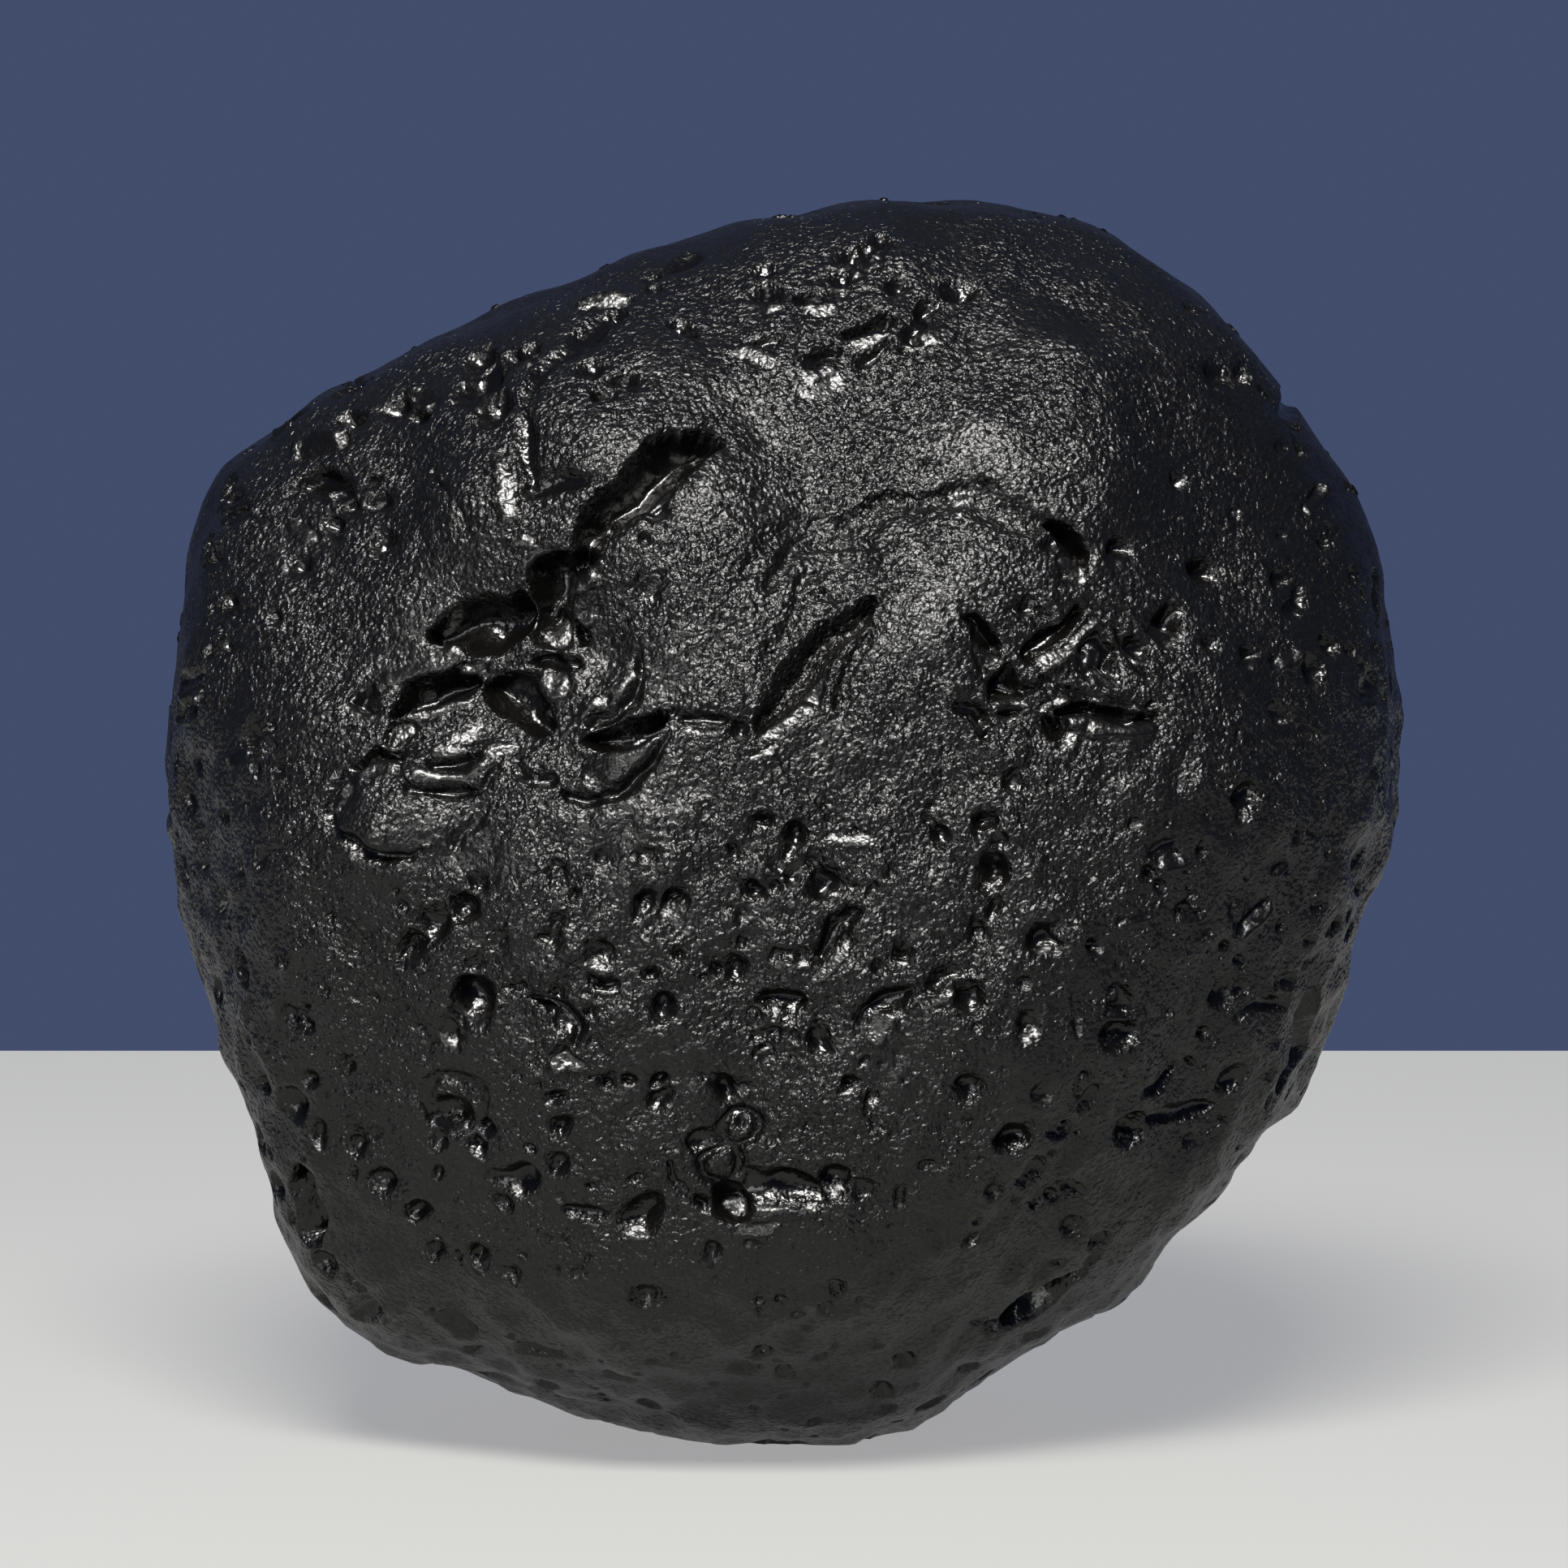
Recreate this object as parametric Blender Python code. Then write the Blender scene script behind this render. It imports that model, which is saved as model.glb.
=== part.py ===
"""A tektite: one lump of natural black glass, standing on the small flat foot under its heel.

Run it with blender --background --python part.py, or from Blender's text editor.
The stone is one solid. A fine ball is drawn out to the outline and to the two domes, soft swells are
raised on it, and then grooves, pits and flake scars are carved along its surface normals. The stone is
leaned back, pressed flat on its foot, and thinned to the faces that its form needs.

Lengths are in millimetres until the mesh is written, at its real size, in metres. Until it is leaned
back the stone stands upright: X is to the right, Y to the back and Z up, and the widest outline lies in
the plane Y = 0. Marks on the front are set out by sight. Their X and Z are read in that plane from an
eye in front of the stone, and they lie where the line of sight meets the skin.
"""

import math

import bpy
import numpy as np

METRES = 0.001  # one millimetre

# Driving dimensions of the lump.
CENTRE = np.array([0.0, 0.0, 25.2])
FRONT_DEPTH = 18.6
BACK_DEPTH = 22.0
PLUMPNESS = 2.25  # 2 makes the sections ellipses, more makes them squarer
EVENED_BEYOND = 0.3  # sine of the slope from the outline's plane where its small bends die out
EVENING_TURNS = np.radians((-24.0, -16.0, -8.0, 0.0, 8.0, 16.0, 24.0))
LEAN = math.radians(5.0)
FLOOR_HEIGHT = 0.1  # of the floor, on the outline's ruler, under the outline
EYE = np.array([0.0, -300.0, 26.7])

BALL_SUBDIVISIONS = 7
FACES_KEPT = 9700
FOOT_SNAP = 0.06  # a point this near the floor is part of the foot

# The widest outline, clockwise from the top: X and Z.
OUTLINE = (
    (5.5, 50.45), (8.0, 50.25), (10.5, 49.9), (12.5, 49.35), (14.5, 48.2), (16.5, 46.7), (18.6, 44.7),
    (20.1, 42.9), (21.6, 40.9), (23.3, 38.4), (24.2, 36.0), (24.6, 33.0), (25.0, 30.2), (24.9, 27.5),
    (24.6, 24.0), (23.3, 20.7), (22.5, 17.8), (21.4, 14.9), (19.9, 12.9), (18.0, 10.5), (15.7, 8.2),
    (13.8, 5.9), (10.5, 4.3), (7.4, 2.8), (4.5, 1.2), (1.5, 0.6), (-2.0, 0.5), (-5.5, 0.9),
    (-9.0, 1.7), (-13.0, 2.9), (-16.6, 4.0), (-19.0, 6.0), (-20.6, 9.2), (-21.2, 12.4), (-22.8, 16.4),
    (-24.1, 20.7), (-24.9, 25.5), (-25.0, 29.0), (-24.6, 32.8), (-24.1, 36.8), (-23.0, 39.3),
    (-20.0, 41.7), (-16.0, 44.0), (-12.0, 45.9), (-9.0, 47.0), (-5.0, 48.6), (0.0, 49.8),
    (3.0, 50.3),
)

# Soft swells on the front, by sight: X, Z, radius and height. A hollow has a height below zero.
FRONT_SWELLS = (
    (4.5, 42.0, 6.5, -0.9),  # the wide basin under the top edge
    (11.8, 44.0, 2.8, 0.5),  # the ridge that closes the basin on the right
    (12.6, 40.0, 2.6, 0.4),
    (5.8, 33.0, 3.6, 0.8),  # the swell right of the middle groove
    (-2.5, 35.0, 4.0, 0.4),
    (-13.0, 30.8, 4.0, -0.9),  # the sunken ground of the left cavities
    (-8.5, 33.5, 3.0, -0.6),
    (-15.4, 25.4, 2.0, 0.75),
    (-14.0, 37.4, 2.4, 0.55),
    (-8.0, 25.0, 4.5, 0.4),
    (-19.0, 21.0, 4.5, 0.5),
    (-7.4, 30.3, 1.5, 0.7),
    (12.5, 31.0, 3.2, -0.4),
    (1.5, 24.5, 4.5, -0.35),
    (8.5, 26.5, 4.0, 0.35),
    (-3.0, 5.5, 6.5, 0.3),
    (9.0, 15.0, 4.5, 0.3),
    (-6.0, 16.5, 4.0, 0.25),
    (17.5, 38.0, 4.5, -0.3),
    (18.5, 24.5, 3.5, 0.35),
    (17.0, 13.6, 2.6, -0.55),
    (-19.2, 14.8, 2.5, -0.4),
)

# Soft swells elsewhere: azimuth and elevation in degrees, radius and height. Azimuth 0 is the front,
# 90 the right, 180 the back.
OTHER_SWELLS = (
    (172.0, -72.0, 9.0, 2.3),  # the heel, which the stone stands on
    (150.0, 20.0, 8.0, 0.9),
    (205.0, -12.0, 9.0, 0.8),
    (186.0, 34.0, 6.5, -1.1),
    (232.0, 22.0, 6.0, -0.8),
    (128.0, -24.0, 6.5, -0.9),
    (178.0, -38.0, 6.0, -0.7),
    (112.0, 8.0, 6.0, 0.5),
    (250.0, -8.0, 6.0, 0.5),
    (120.0, 58.0, 6.0, 0.6),
    (250.0, 56.0, 6.0, -0.6),
)

# Grooves on the front, by sight: the points of the middle line, the half width and the depth.
FRONT_GROOVES = (
    (((-3.4, 40.6), (-5.2, 39.3), (-7.0, 37.6), (-8.1, 36.0)), 0.95, 1.5),  # the upper slot
    (((-16.9, 29.4), (-15.0, 31.0), (-13.2, 32.0)), 0.95, 1.5),
    (((-14.6, 32.9), (-12.6, 33.9), (-10.8, 34.5)), 1.0, 1.3),
    (((-12.6, 29.6), (-11.2, 30.4), (-10.0, 31.4)), 1.0, 1.2),
    (((-17.3, 25.8), (-16.9, 27.1), (-15.8, 27.9)), 0.6, 0.9),
    (((-17.2, 25.0), (-16.3, 23.9), (-14.8, 23.5)), 0.35, 0.45),
    (((-7.0, 28.5), (-5.3, 29.6)), 1.15, 1.3),  # the oval cavity
    (((-5.6, 32.5), (-6.3, 31.0), (-7.6, 29.2), (-8.3, 27.5)), 0.5, 0.7),
    (((2.9, 34.0), (1.3, 31.7), (0.1, 29.5), (-1.2, 28.3)), 0.9, 1.2),  # the middle groove
    (((-10.1, 41.2), (-10.2, 38.5)), 0.5, 0.6),
    (((-11.1, 39.5), (-11.0, 37.4)), 0.7, 0.6),
    (((10.3, 37.3), (12.4, 35.9)), 0.55, 0.8),
    (((4.2, 38.5), (7.3, 38.9), (9.2, 38.1)), 0.5, 0.4),
    (((10.9, 29.2), (12.8, 29.6), (14.8, 29.7)), 0.45, 0.65),
    (((10.2, 32.2), (12.0, 33.3)), 0.55, 0.6),
    (((3.5, 16.9), (5.3, 18.2)), 0.55, 0.6),
    (((5.8, 18.0), (7.8, 19.3)), 0.6, 0.65),
    (((-1.6, 10.1), (2.2, 10.3)), 0.65, 0.75),
    (((-8.8, 9.3), (-7.3, 8.7)), 0.45, 0.45),
    (((-15.2, 19.8), (-13.9, 21.1), (-12.7, 21.8)), 0.65, 0.6),
    (((-9.6, 20.2), (-8.0, 19.6)), 0.45, 0.4),
    (((1.3, 18.9), (2.9, 20.8)), 0.6, 0.5),
    (((9.4, 4.7), (11.9, 6.4)), 0.75, 0.8),  # a flake scar near the foot
    (((19.4, 18.2), (20.3, 16.6), (20.7, 14.8)), 1.2, 0.8),  # a flake scar on the right edge
    (((-21.5, 18.5), (-21.6, 16.5)), 0.4, 0.6),
    (((-19.3, 10.8), (-19.0, 8.6)), 0.6, 0.8),
    (((-19.4, 39.2), (-17.0, 39.6)), 0.55, 0.7),
    (((5.6, 45.8), (6.9, 47.2)), 0.65, 0.6),
)

# Pits on the front, by sight: X, Z, radius and depth.
FRONT_PITS = (
    (-10.0, 34.0, 1.2, 1.7), (-10.0, 31.5, 0.8, 1.3), (-13.5, 27.9, 1.15, 0.9), (-7.7, 35.3, 0.8, 0.9),
    (-11.9, 28.2, 0.7, 0.7), (8.0, 32.4, 0.8, 0.9), (9.1, 30.9, 0.85, 1.0), (11.2, 28.5, 0.7, 0.6),
    (-1.9, 12.5, 0.8, 0.5), (-2.5, 11.1, 0.75, 0.6), (-1.8, 9.8, 0.95, 0.9), (2.3, 10.5, 0.75, 0.6),
    (-5.7, 9.0, 0.75, 0.6), (-13.5, 13.7, 1.35, 0.6), (-11.1, 10.4, 0.95, 0.5), (-14.4, 11.8, 0.6, 0.4),
    (-8.6, 15.9, 0.9, 0.5), (-0.1, 17.4, 0.9, 0.6), (2.0, 22.3, 0.75, 0.5), (8.4, 22.9, 0.8, 0.5),
    (9.2, 12.4, 0.75, 0.6), (11.3, 12.7, 0.75, 0.6), (12.0, 14.6, 0.6, 0.3), (14.4, 12.3, 0.95, 0.7),
    (13.4, 16.4, 0.8, 0.4), (11.2, 9.6, 0.75, 0.4), (-18.3, 7.4, 0.6, 0.5), (-16.8, 5.4, 0.95, 0.6),
    (-20.0, 13.6, 0.8, 0.5), (-17.6, 12.0, 0.6, 0.4), (-10.1, 3.5, 0.75, 0.6), (3.9, 45.7, 0.8, 0.7),
    (-1.0, 44.8, 0.8, 0.6), (1.7, 44.5, 0.8, 0.6), (-21.4, 28.4, 0.8, 0.9), (-23.6, 30.6, 0.7, 0.5),
    (-18.3, 40.6, 0.8, 0.5), (-7.5, 42.4, 0.65, 0.4), (-14.6, 41.8, 0.7, 0.5), (-16.2, 42.0, 0.6, 0.4),
    (-22.0, 37.6, 0.8, 0.5), (-19.0, 37.6, 0.8, 0.5), (-12.1, 43.2, 0.7, 0.4), (-4.4, 21.7, 0.7, 0.4),
    (15.3, 23.5, 0.75, 0.5), (18.9, 30.8, 0.7, 0.5), (20.4, 29.1, 0.7, 0.5), (17.7, 32.4, 0.6, 0.4),
    (-13.6, 16.1, 0.7, 0.4), (-5.6, 13.9, 0.7, 0.35), (0.0, 46.6, 0.8, 0.4), (2.8, 47.6, 0.7, 0.4),
    (20.3, 42.4, 0.8, 0.6), (-24.3, 36.1, 0.6, 0.5),
)

# Grooves elsewhere: azimuths and elevations in degrees along the middle line, half width and depth.
OTHER_GROOVES = (
    (((196.0, 38.0), (188.0, 28.0), (184.0, 16.0)), 1.2, 1.5),
    (((168.0, 30.0), (160.0, 22.0)), 0.9, 1.1),
    (((216.0, 8.0), (208.0, 2.0), (198.0, -2.0)), 1.0, 1.2),
    (((140.0, -4.0), (149.0, -10.0), (154.0, -20.0)), 1.1, 1.3),
    (((238.0, -20.0), (230.0, -28.0)), 0.9, 0.9),
    (((112.0, 34.0), (120.0, 28.0)), 0.8, 0.9),
    (((252.0, 40.0), (260.0, 30.0)), 0.8, 0.9),
    (((176.0, -8.0), (172.0, -20.0)), 0.8, 0.9),
    (((140.0, 52.0), (156.0, 56.0)), 0.8, 0.8),
    (((222.0, 60.0), (240.0, 66.0)), 0.7, 0.7),
    (((128.0, -44.0), (138.0, -40.0)), 0.8, 0.8),
)

# Groups of pits elsewhere, on the sides, the top and the back: azimuth and elevation of the middle,
# the spread in degrees, and how many.
PIT_GROUPS = (
    (100.0, 22.0, 16.0, 12), (262.0, 16.0, 16.0, 12), (190.0, 48.0, 18.0, 14), (208.0, -8.0, 18.0, 14),
    (148.0, 6.0, 16.0, 12), (176.0, 12.0, 14.0, 8), (116.0, -28.0, 16.0, 10), (246.0, -34.0, 16.0, 10),
    (160.0, -36.0, 16.0, 8), (130.0, 68.0, 16.0, 8), (240.0, 70.0, 14.0, 6), (20.0, 74.0, 12.0, 6),
    (225.0, 32.0, 14.0, 8),
)
PIT_SEED = 3322
SMALLEST_PIT = 0.7
LARGEST_PIT = 1.5

# Irregularity: the skin rolls, and no pit or groove is quite round.
ROLL_HEIGHT = 0.32
ROLL_LENGTH = 13.0  # from one crest to the next
RIPPLE_HEIGHT = 0.07
RIPPLE_LENGTH = 4.5
RIM_PLANE_BAND = 6.0  # the roll fades out towards the outline's plane within this distance
WOBBLE = 0.12  # by how much of itself a hollow's width varies
WOBBLE_LENGTH = 3.0
BOWL_POWER = 1.6  # how softly a hollow's wall meets the skin
SOFT_RIM = 1.25  # how far past its half width a hollow's soft rim reaches
WAVES = 24
SIGHT_STEPS = 40


def waviness(points, length, seed):
    """A smooth field of about unit height: waves of one length that cross from all directions."""
    chance = np.random.default_rng(seed)
    headings = unit(chance.normal(size=(WAVES, 3))) * (math.tau / length)
    starts = chance.uniform(0.0, math.tau, WAVES)
    field = np.zeros(len(points))
    for heading, start in zip(headings, starts):
        field += np.sin(points @ heading + start)
    return field * math.sqrt(2.0 / WAVES)


def unit(vectors):
    """The vectors at length one."""
    return vectors / np.linalg.norm(vectors, axis=-1, keepdims=True)


def wrapped(angles):
    """The angles within half a turn of zero."""
    return (angles + math.pi) % math.tau - math.pi


def outline_reach(angles):
    """Distance from the centre to the outline at each angle: a smooth cubic through its points."""
    ends = np.array(OUTLINE) - CENTRE[[0, 2]]
    knots = np.arctan2(ends[:, 1], ends[:, 0])
    order = np.argsort(knots)
    knots = knots[order]
    reaches = np.hypot(ends[:, 0], ends[:, 1])[order]
    knots = np.concatenate((knots[-2:] - math.tau, knots, knots[:2] + math.tau))
    reaches = np.concatenate((reaches[-2:], reaches, reaches[:2]))
    slopes = np.gradient(reaches, knots)
    right = np.clip(np.searchsorted(knots, angles), 2, len(knots) - 2)
    left = right - 1
    step = knots[right] - knots[left]
    t = (angles - knots[left]) / step
    from_left = reaches[left] * (1 + 2 * t) * (1 - t) ** 2 + slopes[left] * step * t * (1 - t) ** 2
    from_right = reaches[right] * t**2 * (3 - 2 * t) + slopes[right] * step * t**2 * (t - 1)
    return from_left + from_right


def lump(directions):
    """Points of the plain lump, outline and domes only, from the centre along unit directions."""
    across = np.hypot(directions[:, 0], directions[:, 2])
    angles = np.arctan2(directions[:, 2], directions[:, 0])
    evened = sum(outline_reach(wrapped(angles + turn)) for turn in EVENING_TURNS) / len(EVENING_TURNS)
    on_rim = np.exp(-((directions[:, 1] / EVENED_BEYOND) ** 2))
    rim = evened + on_rim * (outline_reach(angles) - evened)
    depth = np.where(directions[:, 1] < 0.0, FRONT_DEPTH, BACK_DEPTH)
    share = (across / rim) ** PLUMPNESS + (np.abs(directions[:, 1]) / depth) ** PLUMPNESS
    return CENTRE + directions * share[:, None] ** (-1.0 / PLUMPNESS)


def sighted(spots):
    """Directions from the centre to where lines of sight through X, Z spots meet the front."""
    spots = np.array(spots, dtype=float)
    seen = np.column_stack((spots[:, 0], np.zeros(len(spots)), spots[:, 1]))
    near = np.full(len(spots), -FRONT_DEPTH - 1.0)
    far = np.zeros(len(spots))
    for _ in range(SIGHT_STEPS):
        middle = (near + far) / 2.0
        offsets = EYE + (seen - EYE) * ((middle - EYE[1]) / -EYE[1])[:, None] - CENTRE
        towards = unit(offsets)
        skin = np.linalg.norm(lump(towards) - CENTRE, axis=1)
        outside = np.linalg.norm(offsets, axis=1) > skin
        near = np.where(outside, middle, near)
        far = np.where(outside, far, middle)
    return towards


def bearing(spots):
    """Directions from the centre at azimuths and elevations in degrees."""
    azimuth, elevation = np.radians(np.array(spots, dtype=float)).T
    level = np.cos(elevation)
    return np.column_stack((np.sin(azimuth) * level, -np.cos(azimuth) * level, np.sin(elevation)))


def scattered_pits():
    """The groups of pits that aren't on the front, as direction, radius and depth."""
    chance = np.random.default_rng(PIT_SEED)
    pits = []
    for azimuth, elevation, spread, count in PIT_GROUPS:
        for _ in range(count):
            spot = (azimuth + chance.normal(0.0, spread / 2), elevation + chance.normal(0.0, spread / 2))
            radius = SMALLEST_PIT + (LARGEST_PIT - SMALLEST_PIT) * chance.random() ** 2
            pits.append((bearing([spot])[0], radius, radius * chance.uniform(0.45, 0.8)))
    return pits


def add_swells(points):
    """The skin of the plain lump with its soft swells and its rolling unevenness."""
    outward = unit(points - CENTRE)
    rise = np.zeros(len(points))
    middles = np.vstack((sighted([s[:2] for s in FRONT_SWELLS]), bearing([s[:2] for s in OTHER_SWELLS])))
    for middle, (_, _, radius, height) in zip(lump(middles), FRONT_SWELLS + OTHER_SWELLS):
        distance = np.linalg.norm(points - middle, axis=1)
        rise += height * np.exp(-((distance / radius) ** 2))
    from_rim = 1.0 - np.exp(-((points[:, 1] / RIM_PLANE_BAND) ** 2))
    rise += from_rim * ROLL_HEIGHT * waviness(points, ROLL_LENGTH, seed=11)
    rise += RIPPLE_HEIGHT * waviness(points, RIPPLE_LENGTH, seed=12)
    return points + outward * rise[:, None]


def line_distance(points, line):
    """Distance from each point to the nearest place on a line of straight stretches."""
    nearest = np.linalg.norm(points - line[0], axis=1)
    for start, end in zip(line[:-1], line[1:]):
        run = end - start
        along = np.clip((points - start) @ run / (run @ run), 0.0, 1.0)
        nearest = np.minimum(nearest, np.linalg.norm(points - start - along[:, None] * run, axis=1))
    return nearest


def carve(depths, points, line, half_width, depth):
    """Deepen the hollows by one groove along a line, or by one pit at a line of one point."""
    middle = line.mean(axis=0)
    rim = half_width * SOFT_RIM
    widest = rim / (1.0 - 3.0 * WOBBLE)
    reach = np.linalg.norm(line - middle, axis=1).max() + widest
    near = np.flatnonzero(np.linalg.norm(points - middle, axis=1) < reach)
    distance = line_distance(points[near], line)
    distance *= 1.0 + WOBBLE * waviness(points[near], WOBBLE_LENGTH, seed=21)
    bowl = depth * (1.0 - np.clip(distance / rim, 0.0, 1.0) ** 2) ** BOWL_POWER
    depths[near] = np.maximum(depths[near], bowl)


def hollow_depths(points):
    """How far each point of the plain lump sinks into a groove, a pit or a scar."""
    depths = np.zeros(len(points))
    for spots, half_width, depth in FRONT_GROOVES:
        carve(depths, points, lump(sighted(spots)), half_width, depth)
    for x, z, radius, depth in FRONT_PITS:
        carve(depths, points, lump(sighted([(x, z)])), radius, depth)
    for spots, half_width, depth in OTHER_GROOVES:
        carve(depths, points, lump(bearing(spots)), half_width, depth)
    for direction, radius, depth in scattered_pits():
        carve(depths, points, lump(direction[None]), radius, depth)
    return depths


def positions(mesh):
    """The vertices' positions as rows."""
    values = np.empty(len(mesh.vertices) * 3)
    mesh.vertices.foreach_get("co", values)
    return values.reshape(-1, 3)


def normals(mesh):
    """The skin's outward normal at each vertex."""
    values = np.empty(len(mesh.vertices) * 3)
    mesh.vertex_normals.foreach_get("vector", values)
    return values.reshape(-1, 3)


def set_positions(mesh, points):
    """Move the vertices to the points."""
    mesh.vertices.foreach_set("co", points.ravel())
    mesh.update()


def lean_back(points):
    """Turn the upright stone back onto its heel, with the floor at Z = 0."""
    depth = points[:, 1] * math.cos(LEAN) + points[:, 2] * math.sin(LEAN)
    height = points[:, 2] * math.cos(LEAN) - points[:, 1] * math.sin(LEAN)
    return np.column_stack((points[:, 0], depth, height - FLOOR_HEIGHT * math.cos(LEAN)))


def make_ball():
    """A fine ball with its centre at the origin, the start of the stone."""
    bpy.ops.mesh.primitive_ico_sphere_add(subdivisions=BALL_SUBDIVISIONS, radius=1.0)
    ball = bpy.context.object
    ball.name = "tektite"
    ball.data.name = "tektite"
    return ball


def shape_stone(stone):
    """Draw the ball out to the lump, raise its swells, carve its hollows and flatten its foot."""
    directions = unit(positions(stone.data))
    plain = lump(directions)
    swollen = add_swells(plain)
    set_positions(stone.data, swollen)
    carved = swollen - normals(stone.data) * hollow_depths(plain)[:, None]
    leant = lean_back(carved)
    leant[:, 2] = np.maximum(leant[:, 2], 0.0)
    set_positions(stone.data, leant)


def thin_out(stone):
    """Keep the faces that the form needs, and set the foot flat again."""
    modifier = stone.modifiers.new("Thin out", "DECIMATE")
    modifier.ratio = FACES_KEPT / len(stone.data.polygons)
    depsgraph = bpy.context.evaluated_depsgraph_get()
    thinned = bpy.data.meshes.new_from_object(stone.evaluated_get(depsgraph))
    stone.modifiers.clear()
    stone.data = thinned
    thinned.name = "tektite"
    points = positions(thinned)
    points[points[:, 2] < FOOT_SNAP, 2] = 0.0
    middle = (points.min(axis=0) + points.max(axis=0)) / 2.0
    middle[2] = 0.0
    set_positions(thinned, (points - middle) * METRES)
    thinned.shade_smooth()


def black_glass():
    """Near-black natural glass with a fine matt skin."""
    material = bpy.data.materials.new("tektite_glass")
    material.use_nodes = True
    shader = material.node_tree.nodes["Principled BSDF"]
    shader.inputs["Base Color"].default_value = (0.012, 0.011, 0.010, 1.0)
    shader.inputs["Roughness"].default_value = 0.38
    shader.inputs["IOR"].default_value = 1.49
    return material


def main():
    for thing in list(bpy.data.objects):
        bpy.data.objects.remove(thing)
    stone = make_ball()
    shape_stone(stone)
    thin_out(stone)
    stone.data.materials.append(black_glass())


main()
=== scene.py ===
"""The tektite as it looks: the stone's fine skin, its black glass, and a plain pale studio.

The stone is shaped as its solid is, from the same outline and side grooves and nearly the same swells
and groups of pits. The marks of its front are drawn finer, and fine pits and bright beads are added.
Lengths are in millimetres until the mesh is written in metres. Until it is leaned back the stone stands
upright: X is to the right, Y to the back and Z up, and the widest outline lies in the plane Y = 0.
Marks on the front are set out by sight: their X and Z are read in that plane from the camera's place,
and they lie where the line of sight meets the skin.
"""

import math

import bpy
import numpy as np
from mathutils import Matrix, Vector
from mathutils.kdtree import KDTree


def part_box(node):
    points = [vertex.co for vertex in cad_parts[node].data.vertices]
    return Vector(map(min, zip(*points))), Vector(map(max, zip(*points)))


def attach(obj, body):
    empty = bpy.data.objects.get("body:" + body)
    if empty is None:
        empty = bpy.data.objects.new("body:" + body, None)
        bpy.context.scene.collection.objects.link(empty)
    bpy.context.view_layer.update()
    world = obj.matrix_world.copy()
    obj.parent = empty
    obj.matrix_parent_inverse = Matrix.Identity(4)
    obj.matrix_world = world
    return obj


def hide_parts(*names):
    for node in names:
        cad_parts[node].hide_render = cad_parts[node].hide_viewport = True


METRES = 0.001  # one millimetre
NODE = "tektite"
SLOT = "tektite_glass"
SKIN_NAME = "tektite_skin"

# The stone's driving dimensions, as in its solid.
CENTRE = np.array([0.0, 0.0, 25.2])
FRONT_DEPTH = 18.6
BACK_DEPTH = 22.0
PLUMPNESS = 2.25  # 2 makes the sections ellipses, more makes them squarer
EVENED_BEYOND = 0.3  # sine of the slope from the outline's plane where its small bends die out
EVENING_TURNS = np.radians(range(-24, 25, 8))
LEAN = math.radians(5.0)
FLOOR_HEIGHT = 0.1  # of the floor, on the outline's ruler, under the outline
EYE = np.array([0.0, -300.0, 26.7])
FRAME_WIDTH = 63.97  # across the picture, in the outline's plane
SIGHT_STEPS = 40  # to find where a line of sight meets the skin

# How finely the stone is meshed.
BALL_SUBDIVISIONS = 9
FACES_KEPT = 196000
BACK_FACES_KEPT = 28000  # of them, the most that the back has
BACK_BEYOND = -0.15  # the cosine of the angle from the light beyond which is the stone's back
HELD_BACK = 1000.0  # how strongly the first thinning is kept to the back
FOOT_SNAP = 0.01  # a point this near the floor is part of the foot

# The widest outline, clockwise from the top: X and Z.
OUTLINE = (
    (5.5, 50.45), (8, 50.25), (10.5, 49.9), (12.5, 49.35), (14.5, 48.2), (16.5, 46.7), (18.6, 44.7),
    (20.1, 42.9), (21.6, 40.9), (23.3, 38.4), (24.2, 36), (24.6, 33), (25, 30.2), (24.9, 27.5), (24.6, 24),
    (23.3, 20.7), (22.5, 17.8), (21.4, 14.9), (19.9, 12.9), (18, 10.5), (15.7, 8.2), (13.8, 5.9),
    (10.5, 4.3), (7.4, 2.8), (4.5, 1.2), (1.5, 0.6), (-2, 0.5), (-5.5, 0.9), (-9, 1.7), (-13, 2.9),
    (-16.6, 4), (-19, 6), (-20.6, 9.2), (-21.2, 12.4), (-22.8, 16.4), (-24.1, 20.7), (-24.9, 25.5),
    (-25, 29), (-24.6, 32.8), (-24.1, 36.8), (-23, 39.3), (-20, 41.7), (-16, 44), (-12, 45.9), (-9, 47),
    (-5, 48.6), (0, 49.8), (3, 50.3),
)

# Soft swells on the front, by sight: X, Z, radius and height. A hollow has a height below zero.
FRONT_SWELLS = (
    (-11, 19, 5.5, 0.45),  # the full left flank
    (4.5, 42, 6.5, -0.9),  # the wide basin under the top edge
    (11.8, 44, 2.8, 0.5),  # the ridge that closes the basin on the right
    (12.6, 40, 2.6, 0.4),
    (5.8, 33, 3.6, 0.8),  # the swell right of the middle groove
    (-2.5, 35, 4, 0.4),
    (-13, 30.8, 4, -0.9),  # the sunken ground of the left cavities
    (-8.5, 33.5, 3, -0.6), (-15.4, 25.4, 2, 0.75), (-14, 37.4, 2.4, 0.55), (-8, 25, 4.5, 0.4),
    (-19, 21, 4.5, 0.5), (-7.4, 32.2, 1.4, -0.3),
    (2.2, 36.9, 2, -0.35),  # the dull dip above the middle groove
    (12.5, 31, 3.2, -0.4), (1.5, 24.5, 4.5, -0.35), (8.5, 26.5, 4, 0.35), (-3, 5.5, 6.5, 0.3),
    (9, 15, 4.5, 0.3), (-6, 16.5, 4, 0.25), (17.5, 38, 4.5, -0.3), (18.5, 24.5, 3.5, 0.35),
    (17, 13.6, 2.6, -0.55), (-19.2, 14.8, 2.5, -0.4),
)

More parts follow.
